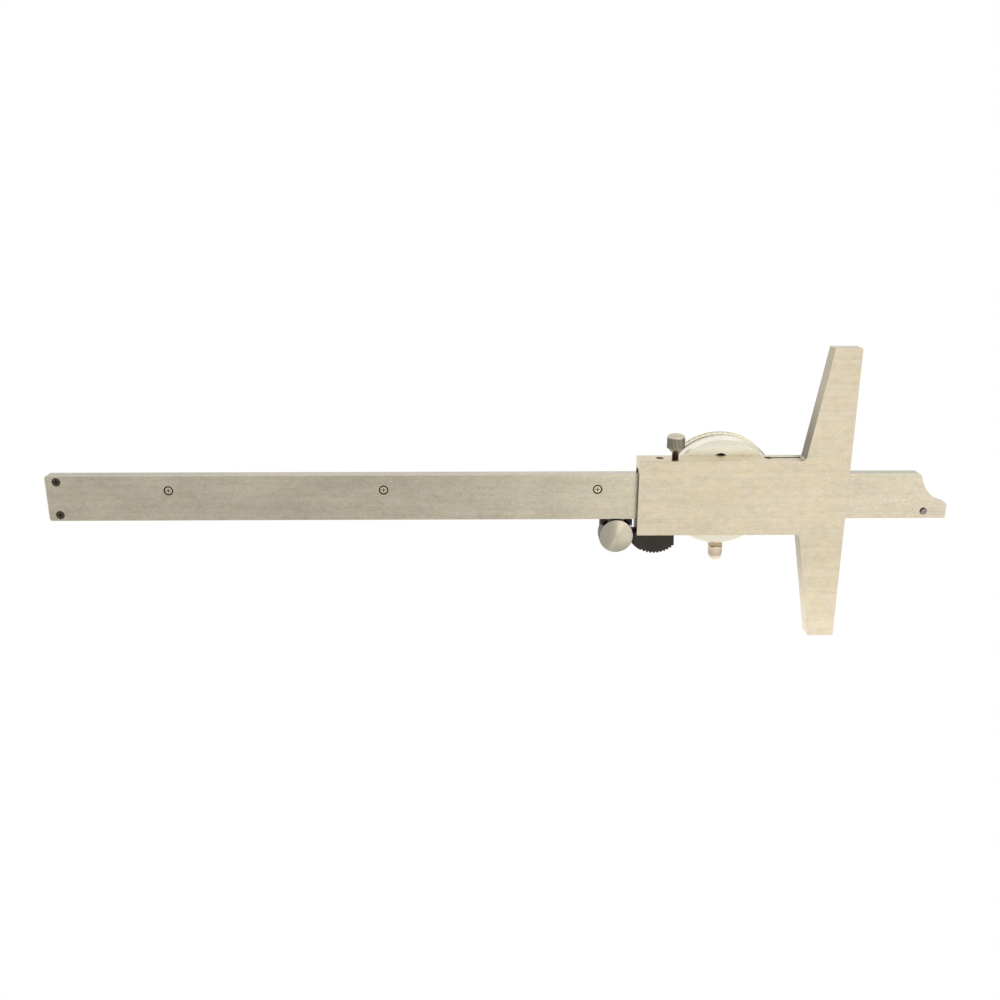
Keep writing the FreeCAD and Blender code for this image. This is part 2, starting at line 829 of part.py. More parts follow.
def make_bridge():
    """The cross-shaped bridge for the upper pivots."""
    x = dial_x
    bridge = block(x - bridge_half_length, x + bridge_half_length, -bridge_half_width, bridge_half_width,
                   bridge_low, bridge_high)
    reach = pillar_high + pillar_radius
    bridge = bridge.fuse(block(x - pillar_radius, x + pillar_radius, -reach, reach, bridge_low, bridge_high))
    bridge = bridge.removeSplitter()
    for centre in (dial_centre, takeup_centre, drive_centre):
        bridge = bridge.cut(drum(centre, bush_radius(pivot_radius), bridge_low, bridge_high))
    for place in pillar_places():
        bridge = bridge.cut(drum(place, bridge_screw_radius + hole_fit, bridge_low, bridge_high))
    bridge = bridge.cut(drum(stud_place(), stud_radius + hole_fit, bridge_low, bridge_high))
    save("bridge", bridge)


def make_bridge_screws():
    """Two screws through the bridge and its pillars into the plate."""
    screws = []
    for place in pillar_places():
        screws.append(slotted_screw(place, bridge_screw_radius, bridge_screw_head_radius, bridge_high,
                                    bridge_screw_head_height, plate_low + hole_fit))
    save("bridge_screws", *screws)


def bush(centre, pivot, low, high):
    """A plain bearing bush."""
    ring = drum(centre, bush_radius(pivot), low, high)
    return ring.cut(drum(centre, pivot + running_fit, low, high))


def make_bushes():
    """Bushes of the three arbors in the plate and in the bridge."""
    lower = [bush(dial_centre, pivot_radius, plate_low, plate_high),
             bush(takeup_centre, pivot_radius, plate_low, plate_high),
             bush(drive_centre, drive_arbor_radius, plate_low, plate_high)]
    upper = [bush(centre, pivot_radius, bridge_low, bridge_high)
             for centre in (dial_centre, takeup_centre, drive_centre)]
    save("plate_bushes", *lower)
    save("bridge_bushes", *upper)


def hubbed_wheel(centre, phase):
    """A thin toothed wheel with a raised hub."""
    wheel = gear(centre, wheel_teeth, wheel_module, phase, wheel_low, wheel_high)
    return wheel.fuse(drum(centre, wheel_hub_radius, wheel_low - wheel_hub_height, wheel_low))


def make_drive_wheel():
    """The rack pinion on its arbor, and the large wheel that it carries."""
    low = groove_floor + pinion_floor_gap
    pinion_top = low + pinion_height
    stem = drum(drive_centre, drive_arbor_radius, pinion_top, wheel_low - wheel_hub_height)
    arbor = gear(drive_centre, rack_pinion_teeth, rack_module, 90, low, pinion_top)
    arbor = arbor.fuse(stem)
    shoulder_top = bridge_low - arbor_shoulder_gap
    arbor = arbor.fuse(drum(drive_centre, drive_arbor_radius, wheel_low - wheel_hub_height, shoulder_top))
    arbor = arbor.fuse(drum(drive_centre, pivot_radius, shoulder_top, bridge_high))
    save("rack_pinion", arbor)
    wheel = hubbed_wheel(drive_centre, drive_direction + 180)
    wheel = wheel.cut(drum(drive_centre, drive_arbor_radius, wheel_low - wheel_hub_height, wheel_high))
    save("drive_wheel", wheel)


def make_takeup_wheel():
    """The take-up arbor with its collet, and its wheel."""
    collet_low = wheel_high
    shoulder_top = bridge_low - arbor_shoulder_gap
    arbor = drum(takeup_centre, pivot_radius, plate_low, bridge_high)
    arbor = arbor.fuse(drum(takeup_centre, collet_radius, plate_high + arbor_shoulder_gap, shoulder_top))
    save("takeup_arbor", arbor)
    wheel = hubbed_wheel(takeup_centre, drive_direction)
    wheel = wheel.cut(drum(takeup_centre, collet_radius, wheel_low - wheel_hub_height, collet_low))
    save("takeup_wheel", wheel)


def stud_place():
    """Where the hairspring's outer end is pinned, under the bridge."""
    reach = spring_inner_radius + spring_step * spring_turns + spring_strip / 2 + stud_radius
    return (takeup_centre[0] + reach, takeup_centre[1])


def make_hairspring():
    """A flat spiral of half turns that grow outwards, and the stud at its outer end."""
    x, y = takeup_centre
    low = wheel_high + spring_gap
    inner = []
    outer = []
    radius = spring_inner_radius
    middle = 0
    side = 1
    for index in range(2 * spring_turns):
        for edges, offset in ((inner, -spring_strip / 2), (outer, spring_strip / 2)):
            reach = radius + offset
            start = Vector(x + middle + side * reach, y, low)
            crest = Vector(x + middle, y + side * reach, low)
            end = Vector(x + middle - side * reach, y, low)
            edges.append(Part.Arc(start, crest, end).toShape())
        radius = radius + spring_step / 2
        middle = middle + side * spring_step / 2
        side = -side
    first = Part.makeLine(inner[0].Vertexes[0].Point, outer[0].Vertexes[0].Point)
    last = Part.makeLine(inner[-1].Vertexes[-1].Point, outer[-1].Vertexes[-1].Point)
    wire = Part.Wire(Part.__sortEdges__([first, last] + inner + outer))
    spring = Part.Face(wire).extrude(Vector(0, 0, spring_height))
    save("hairspring", spring)
    save("hairspring_stud", drum(stud_place(), stud_radius, low, bridge_high))


def make_centre_arbor():
    """The centre arbor with its pinion, which carries the pointer."""
    pinion_low = plate_high + arbor_shoulder_gap
    pinion_high = bridge_low - arbor_shoulder_gap
    step = 360 / centre_pinion_teeth
    arbor = gear(dial_centre, centre_pinion_teeth, wheel_module, drive_direction + step / 2,
                 pinion_low, pinion_high)
    arbor = arbor.fuse(drum(dial_centre, pivot_radius, plate_low, pinion_low))
    boss_top = dial_high + boss_lift + boss_height
    arbor = arbor.fuse(drum(dial_centre, pivot_radius, pinion_high, boss_top))
    save("centre_arbor", arbor)


def make_pointer():
    """The pointer and the boss that presses it onto the centre arbor."""
    angle = 90 - 360 * (pointer_turns - math.floor(pointer_turns))
    x, y = dial_centre
    needle = prism([(x - pointer_tail, y - pointer_tail_width / 2), (x, y - pointer_root_width / 2),
                    (x + pointer_length, y - pointer_tip_width / 2),
                    (x + pointer_length, y + pointer_tip_width / 2),
                    (x, y + pointer_root_width / 2), (x - pointer_tail, y + pointer_tail_width / 2)],
                   pointer_low, pointer_low + pointer_thick)
    needle = needle.fuse(drum(dial_centre, boss_radius, pointer_low, pointer_low + pointer_thick))
    needle = needle.cut(drum(dial_centre, pivot_radius, pointer_low, pointer_low + pointer_thick))
    needle.rotate(Vector(x, y, 0), Vector(0, 0, 1), angle)
    save("pointer", needle)
    boss_low = dial_high + boss_lift
    boss = drum(dial_centre, boss_radius, boss_low, pointer_low)
    cap = drum(dial_centre, boss_radius * boss_cap_share, pointer_low + pointer_thick,
               boss_low + boss_height)
    bore = drum(dial_centre, pivot_radius, boss_low, boss_low + boss_height)
    save("pointer_boss", boss.cut(bore), cap.cut(bore))


def make_bezel():
    """The turning bezel: a knurled ring with a ledge between dial and crystal."""
    bore = neck_radius + running_fit
    crystal_radius = bezel_radius - bezel_top_wall - bezel_chamfer / 2
    ring = turned(dial_centre, [
        (bore, bezel_low), (bezel_radius, bezel_low), (bezel_radius, bezel_high - bezel_chamfer),
        (bezel_radius - bezel_chamfer, bezel_high), (crystal_radius, bezel_high),
        (crystal_radius, ledge_high), (bezel_ledge_radius, ledge_high),
        (bezel_ledge_radius, dial_high), (bore, dial_high)])
    knurl_low = bezel_low + bezel_knurl_low
    knurl_high = knurl_low + bezel_knurl_height
    outline = star(dial_centre, bezel_radius - bezel_knurl_inset, bezel_groove_depth, bezel_groove_count)
    cutter = drum(dial_centre, bezel_radius + overrun, knurl_low, knurl_high)
    ring = ring.cut(cutter.cut(prism(outline, knurl_low, knurl_high)))
    save("bezel", ring)
    crystal = drum(dial_centre, crystal_radius - dial_fit, ledge_high, crystal_high)
    save("crystal", crystal)
    face = drum(dial_centre, bore - dial_fit, dial_low, dial_high)
    save("dial_face", face.cut(drum(dial_centre, dial_hole_radius, dial_low, dial_high)))


def make_bezel_spring():
    """The split ring in the neck's groove that steadies the bezel."""
    low = shoulder + spring_ring_from_shoulder
    inside = neck_radius - spring_ring_depth
    outside = neck_radius
    ring = turned(dial_centre, [(inside, low), (outside, low), (outside, low + spring_ring_height),
                                (inside, low + spring_ring_height)])
    half = spring_ring_gap_angle / 2
    gap = prism([dial_centre, polar(dial_centre, neck_radius + overrun, -half),
                 polar(dial_centre, neck_radius + overrun, half)], low, low + spring_ring_height)
    save("bezel_spring", ring.cut(gap))


def make_bezel_clip():
    """The clip on the case's wall that the knob pulls against the bezel's edge."""
    x = dial_x
    tongue_in = -bezel_radius - clip_gap
    tongue_out = tongue_in - clip_thick
    low = front_face + clip_low
    foot_high = shoulder - bezel_gap
    foot = block(x - clip_width / 2, x + clip_width / 2, tongue_out, -case_inside, low, foot_high)
    foot = foot.cut(drum(dial_centre, case_radius, low, foot_high))
    tongue = block(x - clip_width / 2, x + clip_width / 2, tongue_out, tongue_in,
                   foot_high, bezel_low + clip_overlap)
    clip = foot.fuse(tongue)
    clip = clip.cut(cross_rod(x, front_face + knob_high, knob_stem_radius + running_fit,
                              tongue_out - overrun, -case_inside))
    save("bezel_clip", clip)


def make_bezel_knob():
    """The small knurled knob that locks the bezel."""
    x = dial_x
    z = front_face + knob_high
    head = -bezel_radius - clip_gap - clip_thick - knob_gap
    crown = head - knob_knurl_length
    end = crown - knob_crown_length
    tip = -case_radius + knob_bite
    knob = turned_across(x, z, [(0, tip), (knob_stem_radius, tip), (knob_stem_radius, head),
                                (knob_radius, head), (knob_radius, crown),
                                (knob_crown_radius, end), (0, end)])
    knob = knob.cut(knurl_cutter(x, z, knob_radius, knob_groove_depth, knob_groove_count, crown, head))
    save("bezel_knob", knob)


os.makedirs("parts", exist_ok=True)
make_beam()
make_rack()
make_rack_screws()
make_end_stop()
make_nose_pin()
make_slider_body()
make_front_plate()
make_front_plate_screws()
make_gib()
make_thumb_grip()
make_thumb_grip_screws()
make_roller_axle()
make_thumb_roller()
make_clamp_screw()
make_dial_case()
make_case_screws()
make_movement_plate()
make_plate_screws()
make_pillars()
make_bridge()
make_bridge_screws()
make_bushes()
make_drive_wheel()
make_takeup_wheel()
make_hairspring()
make_centre_arbor()
make_pointer()
make_bezel()
make_bezel_spring()
make_bezel_clip()
make_bezel_knob()
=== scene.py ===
import math

import bmesh
import bpy
from mathutils import Matrix, Vector


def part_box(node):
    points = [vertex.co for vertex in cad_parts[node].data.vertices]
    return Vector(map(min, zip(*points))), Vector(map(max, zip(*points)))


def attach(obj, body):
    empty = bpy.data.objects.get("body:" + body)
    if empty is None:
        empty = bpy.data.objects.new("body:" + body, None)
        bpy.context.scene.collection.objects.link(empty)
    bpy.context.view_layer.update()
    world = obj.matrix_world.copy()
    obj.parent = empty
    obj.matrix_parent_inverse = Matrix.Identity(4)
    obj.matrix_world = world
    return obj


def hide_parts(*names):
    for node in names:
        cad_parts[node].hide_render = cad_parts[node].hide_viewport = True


# A dial depth gauge that lies on its back with the dial up.
# X runs along the beam from the measuring face, Y across it towards the clamp screw, Z from back to dial.
# Sizes are in millimetres and MM turns them into the metres of the frame. Angles are in degrees.

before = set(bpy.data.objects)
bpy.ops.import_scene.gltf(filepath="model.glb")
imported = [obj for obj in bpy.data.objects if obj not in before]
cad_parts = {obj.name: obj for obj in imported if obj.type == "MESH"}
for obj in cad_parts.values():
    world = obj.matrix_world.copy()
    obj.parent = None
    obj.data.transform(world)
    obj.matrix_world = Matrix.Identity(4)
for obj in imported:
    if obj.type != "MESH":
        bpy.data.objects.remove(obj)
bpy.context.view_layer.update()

MM = 0.001
WELD = 0.0005
FLAT_ANGLE = 0.6
SHARP_ANGLE = 32

# Eased edges of the ground and turned pieces
BEAM_EASE = 0.22
SLIDER_EASE = 0.16
PLATE_EASE = 0.12
CASE_EASE = 0.3
BEZEL_EASE = 0.07
GRIP_EASE = 0.05
SMALL_EASE = 0.08
EASE_STEPS = 3
EASE_PROFILE = 0.5

# Holes whose rims stay sharp and whose insides get painted shade
RACK_SCREW_COUNT = 4
RACK_SCREW_SUNK = 0.08
END_SCREW_SUNK = 0.06
SCREW_WELL_GAP = 0.36
CASE_HOLE_ALONG = 0.7
CASE_HOLE_HIGH = 10.85
CASE_HOLE_RADIUS = 2.9
WELL_RIM = 0.1

# Dial print
DIAL_DIVISIONS = 100
DIAL_FIGURES = 10
DIAL_COUNT_STEP = 20
TICK_OUTSIDE = 16.5
TICK_LENGTH = 1.35
TICK_LENGTH_FIVE = 1.8
TICK_LENGTH_TEN = 2.4
TICK_WIDTH = 0.11
TICK_WIDTH_TEN = 0.2
DIAL_RING_WIDTH = 0.1
DIAL_FIGURE_RADIUS = 12.4
DIAL_FIGURE_SIZE = 2.5
FIGURE_STEPS = 6
PRINT_THICK = 0.012

# Printed scale on the beam's dial side
SCALE_LENGTH = 200
SCALE_EDGE = 0.55
MARK_LENGTH = 1.6
MARK_LENGTH_FIVE = 2.2
MARK_LENGTH_TEN = 2.8
MARK_WIDTH = 0.13
SCALE_FIGURE_SIZE = 1.75
SCALE_FIGURE_GAP = 0.25
SCALE_FIGURE_HALF = 0.36

# Knurled screws and the thumb roller. Each row of an outline says how far along it lies, how far inside the
# radius, and how much of the knurl it has.
GROOVE_STEPS = 4
CLAMP_STEM_RADIUS = 1.1
CLAMP_CONE_RADIUS = 1.5
CLAMP_CONE_STEP = 0.04
CLAMP_CONE_LENGTH = 1.45
CLAMP_KNURL_LENGTH = 3.55
CLAMP_CROWN_LENGTH = 1.05
CLAMP_CROWN_ROUND = 1.5
CLAMP_CROWN_IN = 0.06
CLAMP_TOP_IN = 1.9
CLAMP_OUTLINE = ((-0.08, 0.12, 0), (0, 0, 0.3), (0.12, 0, 1), (CLAMP_KNURL_LENGTH - 0.12, 0, 1),
                 (CLAMP_KNURL_LENGTH, 0.04, 0.5))
CLAMP_GROOVES = 40
CLAMP_GROOVE_DEPTH = 0.14
KNOB_STEM_RADIUS = 0.7
KNOB_HEAD_LENGTH = 4.95
KNOB_TAPER_START = 2.6
KNOB_TAPER_END = 0.9
KNOB_TAPER = 0.42
KNOB_OUTLINE = ((0.03 - KNOB_HEAD_LENGTH, 0.12, 0), (0.14 - KNOB_HEAD_LENGTH, 0, 0),
                (0.26 - KNOB_HEAD_LENGTH, 0, 1), (-KNOB_TAPER_START, 0.05, 1),
                (-KNOB_TAPER_END, KNOB_TAPER, 0.9), (-0.6, 0.52, 0.3), (-0.2, 0.75, 0), (0, 1.1, 0))
KNOB_GROOVES = 34
KNOB_GROOVE_DEPTH = 0.12
ROLLER_EDGE = ((0, 0.16, 0), (0.05, 0.08, 0), (0.16, 0.01, 0.1), (0.32, 0, 1))
ROLLER_GROOVES = 72
ROLLER_GROOVE_DEPTH = 0.07

# The thumb grip's notches
GRIP_RADIUS = 9.8
GRIP_DISC_IN = 18.5
GRIP_NOTCHES = 10
GRIP_NOTCH_ANGLE = 7.4
GRIP_NOTCH_MIDDLE = -98.0
GRIP_TOOTH = 0.44
GRIP_RIM = 0.1
GRIP_NOTCH_BOTTOM = 0.02

# Grains of the finishes: their sizes along X, Y and Z, then the detail and the seed of the noise
GROUND_LINES = (3.2, 0.36, 0.36, 2.0)
GROUND_STREAKS = (38, 1.3, 1.3, 3.0, 31.0)
GROUND_BLOTCHES = (2.8, 2.2, 2.2, 4.0, 11.0)
GROUND_CLOUDS = (19, 9, 9, 4.0, 57.0)
GROUND_TINTS = (5.2, 3.4, 3.4, 4.0, 83.0)
GROUND_SPECKS = (0.55, 0.42, 0.42, 2.0, 97.0)
EDGE_RUB = (6, 6, 6, 3.0)
EDGE_NICKS = (0.6, 0.6, 0.6, 2.0, 19.0)
TURNED_DRIFT = (5, 5, 5, 2.0)
TURNED_CLOUDS = (8, 8, 8, 3.0, 23.0)
TURNED_FINE = (0.5, 0.5, 0.5, 2.0, 3.0)
KNURL_DUST = (0.7, 0.7, 0.7, 3.0)
STEEL_SKIN = (1.2, 1.2, 1.2, 3.0)
STEEL_PITS = (0.25, 0.25, 0.25, 2.0, 13.0)
HEAD_SKIN = (0.5, 0.5, 0.5, 3.0)
PLASTIC_PEBBLE = (0.3, 0.3, 0.3, 2.0)
PLASTIC_SMEAR = (4, 2, 4, 3.0, 41.0)
ENAMEL_FLOW = (3, 3, 3, 2.0)
ENAMEL_FINE = (0.2, 0.2, 0.2, 1.0, 5.0)
CRYSTAL_WIPE = (9, 3, 3, 3.0)
GRAIN_MIDDLE = 0.5
GRAIN_ROUGHNESS = 0.55

# Spans over which one thing turns into another: a place, a grain, or how squarely a surface faces an axis
BLEND = 0.05
SIDE_FACING = (0.6, 0.9)
GROUND_FACING = (0.55, 0.9)
TURNED_FACING = (0.75, 0.95)
KNURL_FACING = (0.5, 0.95)
STEM_FACING = (0.6, 0.98)
WARM_SPAN = (0.42, 0.64)
COOL_SPAN = (0.5, 0.7)
PEBBLE_SPAN = (0.45, 0.75)
SMEAR_SPAN = (0.45, 0.8)
RECESS_SPAN = (0.08, 0.3)
STEM_SPAN = (0.02, 0.1)
PIN_SHADE_SPAN = (0.45, 0.85)

# Ground steel: how far each grain sways its brightness and roughness, and stands in its relief
LINES_TONE = 0.3
STREAKS_TONE = 0.22
SPECKS_TONE = 0.5
BLOTCHES_TONE = 0.34
CLOUDS_TONE = 0.36
GROUND_COOL = 0.6
GROUND_ROUGH = 0.36
CLOUDS_DULL = 0.12
LINES_DULL = 0.14
LINES_HEIGHT = 0.7
BLOTCHES_HEIGHT = 0.3

# Where shade is painted on the beam, and how much painted light it gets along its length
BEAM_EDGE_SHADE = 0.3
BEAM_EDGE_SPAN = (120, 260)
BEAM_TONE = 0.945
BEAM_NOSE_GAIN = 0.055
BEAM_NOSE_SPAN = (-5, 60)
BEAM_DIP = 0.06
BEAM_DIP_START = (90, 140)
BEAM_DIP_END = (165, 240)

# Where shade is painted on the slider, and how much painted light it gets along its length and down its lower
# arm
END_WALL_SHADE = 0.92
END_WALL_SPAN = (0.3, 0.6)
CHANNEL_SPAN = (1.6, 1.7)
CHANNEL_START = (2.0, 2.2)
CHANNEL_END = (6.5, 6.7)
ARM_SHADE = 0.7
ARM_SHADE_FADE = 0.34
ARM_FADE_SPAN = (14, 42)
ARM_ROOT_SPAN = (13.2, 13.6)
ARM_TOP_SPAN = (6.8, 7.2)
ARM_SIDE_SPAN = (-1, 1)
ARM_LOWER_SHARE = 0.66
CORNER_SHADE = 0.5
CORNER_ABOVE = (4, 5)
CORNER_BELOW = (20, 21)
CORNER_SPAN = (15.5, 20)
SLIDER_TONE = 0.95
SLIDER_GAIN = 0.085
SLIDER_GAIN_SPAN = (-20, 75)
LOWER_ARM_GAIN = 0.2
LOWER_ARM_SPAN = (-55, -14)

# The other finishes. The safe value keeps a division from meeting zero on the turning axis.
EDGE_TONE = 0.94
EDGE_RUB_TONE = 0.3
EDGE_NICKS_TONE = 0.2
EDGE_ROUGH = 0.3
TURNED_DULL = 0.14
SHEEN_ALONG = (0.34, -0.94)
SHEEN_TIGHT = 26
CENTRE_SAFE = 0.01
PAINTED_LIGHT_START = (-1, -0.5)
PAINTED_LIGHT_END = (1, 4.5)
STEM_SHADE = 0.95
STEM_LIT = 0.6
DUST_TONE = 0.2
SKIN_TONE = 0.3
SKIN_DULL = 0.2
HEAD_ROUGH = 0.34
PIN_ROUGH = 0.36
PIN_SHADE_REACH = 0.5
DIAGONAL = 0.707
PEBBLE_DUST = 0.4
SMEAR_DUST = 0.3
PLASTIC_ROUGH = 0.75
PLASTIC_SHINE = 0.1
ENAMEL_TONE = 0.03
ENAMEL_DULL = 0.1
CRYSTAL_TINT = (0.98, 0.99, 0.99, 1.0)
CRYSTAL_BEND = 1.46
CRYSTAL_ROUGH = 0.015
CRYSTAL_WIPE_ROUGH = 0.02

# How deep the relief of each finish is
GROUND_RELIEF = 0.006
EDGE_RELIEF = 0.008
KNURL_RELIEF = 0.01
SKIN_RELIEF = 0.006
PLASTIC_RELIEF = 0.03
ENAMEL_RELIEF = 0.002

# Studio
FLOOR_SIZE = 2200
FLOOR_PARTS = 4
FLOOR_MIDDLE = 120
FLOOR_DROP = 0.2
FLOOR_GLOW = 0.72
FLOOR_FADE = (350, 1000)
FLOOR_PAINT = (0.94, 0.94, 0.94, 1.0)
WORLD_SOFT = 0.5
WHITE = (1, 1, 1, 1)

# Soft boxes: where each one is, where it looks, its size, power and colour
LAMPS = {
    "back_key": ((-385, -90, -740), (-385, -90, 0), (740, 1040), 2.45, (1.0, 0.97, 0.9)),
    "dial_key": ((-260, -560, 640), (60, 0, 10), (500, 500), 1.2, (1, 1, 1)),
    "dial_fill": ((430, -600, 560), (120, 0, 10), (500, 500), 0.7, (1, 1, 1)),
}

# The camera, with its clips in metres
CAMERA_PLACE = (122.45, 103.17, -327.46)
CAMERA_RIGHT = (-0.9999, 0.00098, -0.01404)
CAMERA_AHEAD = (-0.01368, -0.30105, 0.95351)
CAMERA_LENS = 36.63
CAMERA_SENSOR = 36.0
CAMERA_CLIPS = (0.01, 20)


def box_mm(node):
    """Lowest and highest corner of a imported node, in millimetres."""
    low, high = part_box(node)
    return low / MM, high / MM


def light(red, green, blue):
    """A linear colour from the usual 0 to 255 values, by the sRGB curve."""
    share = [value / 255 for value in (red, green, blue)]
    linear = [value / 12.92 if value <= 0.04045 else ((value + 0.055) / 1.055) ** 2.4 for value in share]
    return (*linear, 1.0)


class Value:
    """A socket of a material, so that shader maths reads as arithmetic."""

    def __init__(self, finish, socket):
        self.finish = finish
        self.socket = socket

    def maths(self, operation, *operands):
        return self.finish.value("ShaderNodeMath", 0, {"operation": operation}, dict(enumerate(operands)))

    def __add__(self, other):
        return self.maths("ADD", self, other)

    def __radd__(self, other):
        return self.maths("ADD", other, self)

    def __sub__(self, other):
        return self.maths("SUBTRACT", self, other)

    def __rsub__(self, other):
        return self.maths("SUBTRACT", other, self)

    def __mul__(self, other):
        return self.maths("MULTIPLY", self, other)

    def __rmul__(self, other):
        return self.maths("MULTIPLY", other, self)

    def __truediv__(self, other):
        return self.maths("DIVIDE", self, other)

    def __pow__(self, other):
        return self.maths("POWER", self, other)

    def __abs__(self):
        return self.maths("ABSOLUTE", self)

    def sine(self):
        return self.maths("SINE", self)

    def rise(self, low, high):
        """Zero up to low, one from high, and smooth between."""
        return self.finish.value("ShaderNodeMapRange", 0, {"interpolation_type": "SMOOTHSTEP"},
                                 {"Value": self, "From Min": low, "From Max": high})

    def past(self, spot, blend=BLEND):
        """Zero before a spot and one past it."""
        return self.rise(spot - blend, spot + blend)

    def sway(self, amount):
        """How far a grain lies from its middle, times an amount."""
        return (self - GRAIN_MIDDLE) * amount


class Finish:
    """One material, or the studio's world, in the making."""

    def __init__(self, name, library=bpy.data.materials):
        self.material = library.new(name)
        self.material.use_nodes = True
        self.tree = self.material.node_tree
        self.tree.nodes.clear()

    def node(self, kind, settings=None, sockets=None):
        """Any node: its type, its settings, then the values or links of its sockets."""
        node = self.tree.nodes.new(kind)
        for key, setting in (settings or {}).items():
            setattr(node, key, setting)
        for key, value in (sockets or {}).items():
            if isinstance(value, Value):
                self.tree.links.new(value.socket, node.inputs[key])
            else:
                node.inputs[key].default_value = value
        return node

    def value(self, kind, output, settings=None, sockets=None):
        return Value(self, self.node(kind, settings, sockets).outputs[output])

    def place(self):
        """Where a point of the piece is, in millimetres."""
        spot = self.value("ShaderNodeTexCoord", "Object")
        return self.value("ShaderNodeVectorMath", 0, {"operation": "SCALE"}, {0: spot, "Scale": 1 / MM})

    def parts(self, vector):
        """The three numbers of a vector."""
        node = self.node("ShaderNodeSeparateXYZ", None, {0: vector})
        return [Value(self, output) for output in node.outputs]

    def facing(self):
        """The direction that the piece's surface faces, as three numbers."""
        return self.parts(self.value("ShaderNodeTexCoord", "Normal"))

    def grain(self, place, along, across, through, detail=2.0, seed=0.0):
        """Noise whose grains have these sizes in millimetres, about half on average."""
        moved = self.value("ShaderNodeVectorMath", 0, {"operation": "ADD"}, {0: place, 1: (seed, seed, seed)})
        scaled = self.value("ShaderNodeVectorMath", 0, {"operation": "DIVIDE"},
                            {0: moved, 1: (along, across, through)})
        return self.value("ShaderNodeTexNoise", 0, {"noise_dimensions": "3D"},
                          {"Vector": scaled, "Scale": 1.0, "Detail": detail, "Roughness": GRAIN_ROUGHNESS})

    def wells(self, place, spots):
        """One inside any of these upright holes, each given by its centre and radius."""
        x, y = self.parts(place)[:2]
        inside = 0
        for centre_x, centre_y, radius in spots:
            reach = ((x - centre_x) ** 2 + (y - centre_y) ** 2) ** 0.5
            inside = inside + (1 - reach.rise(radius, radius + WELL_RIM / 2))
        return inside

    def mix(self, factor, low, high):
        """From one colour to another."""
        return self.value("ShaderNodeMix", 2, {"data_type": "RGBA"}, {0: factor, 6: low, 7: high})

    def scaled(self, colour, factor):
        """A colour made darker or lighter."""
        base = colour if isinstance(colour, Value) else colour[:3]
        return self.value("ShaderNodeVectorMath", 0, {"operation": "SCALE"}, {0: base, "Scale": factor})

    def relief(self, height, depth):
        """A normal from a height that spans this depth in millimetres."""
        return self.value("ShaderNodeBump", 0, None,
                          {"Height": height, "Distance": depth * MM, "Strength": 1.0})

    def coat(self, **sockets):
        """Closes the material with its one surface shader."""
        named = {key.replace("_", " "): value for key, value in sockets.items()}
        shader = self.value("ShaderNodeBsdfPrincipled", 0, None, named)
        self.node("ShaderNodeOutputMaterial", None, {0: shader})
        return self.material


def ground_steel(name, face, warm, cool, side, shade, painted_light):
    """Steel ground along the beam: fine lines and cloudy tints on the flats, and plainer milled sides.
    The shade function says where shade is painted on the piece: in its wells, or where its ends meet the
    beam.
    The last function says how much painted light each part of it gets."""
    finish = Finish(name)
    place = finish.place()
    flat = abs(finish.facing()[2]).rise(*GROUND_FACING)
    lines = finish.grain(place, *GROUND_LINES)
    streaks = finish.grain(place, *GROUND_STREAKS)
    blotches = finish.grain(place, *GROUND_BLOTCHES)
    clouds = finish.grain(place, *GROUND_CLOUDS)
    tints = finish.grain(place, *GROUND_TINTS)
    specks = finish.grain(place, *GROUND_SPECKS)
    tone = 1 + lines.sway(LINES_TONE) + streaks.sway(STREAKS_TONE) + specks.sway(SPECKS_TONE)
    tone = (tone + blotches.sway(BLOTCHES_TONE) + clouds.sway(CLOUDS_TONE)) * painted_light(finish, place)
    ground = finish.mix(tints.rise(*WARM_SPAN), face, warm)
    ground = finish.mix(blotches.rise(*COOL_SPAN) * GROUND_COOL, ground, cool)
    colour = finish.scaled(finish.mix(flat, side, ground), tone)
    colour = finish.mix(shade(finish, place), colour, SHADE)
    dull = GROUND_ROUGH + clouds.sway(CLOUDS_DULL) + lines.sway(LINES_DULL)
    height = lines * LINES_HEIGHT + blotches * BLOTCHES_HEIGHT
    return finish.coat(Base_Color=colour, Metallic=1.0, Roughness=dull,
                       Normal=finish.relief(height, GROUND_RELIEF))


def beam_shade(finish, place):
    """Painted shade in the wells of the screws and of the pin, and on the upper edge towards the far end."""
    along = finish.parts(place)[0]
    far = finish.facing()[1].rise(*SIDE_FACING) * along.rise(*BEAM_EDGE_SPAN) * BEAM_EDGE_SHADE
    return (finish.wells(place, beam_wells()) + far).rise(0, 1)


def beam_polish(finish, place):
    """How much painted light the beam gets along its length: less at the nose, and again around its middle.
    """
    along = finish.parts(place)[0]
    dip = BEAM_DIP * along.rise(*BEAM_DIP_START) * (1 - along.rise(*BEAM_DIP_END))
    return BEAM_TONE + BEAM_NOSE_GAIN * along.rise(*BEAM_NOSE_SPAN) - dip


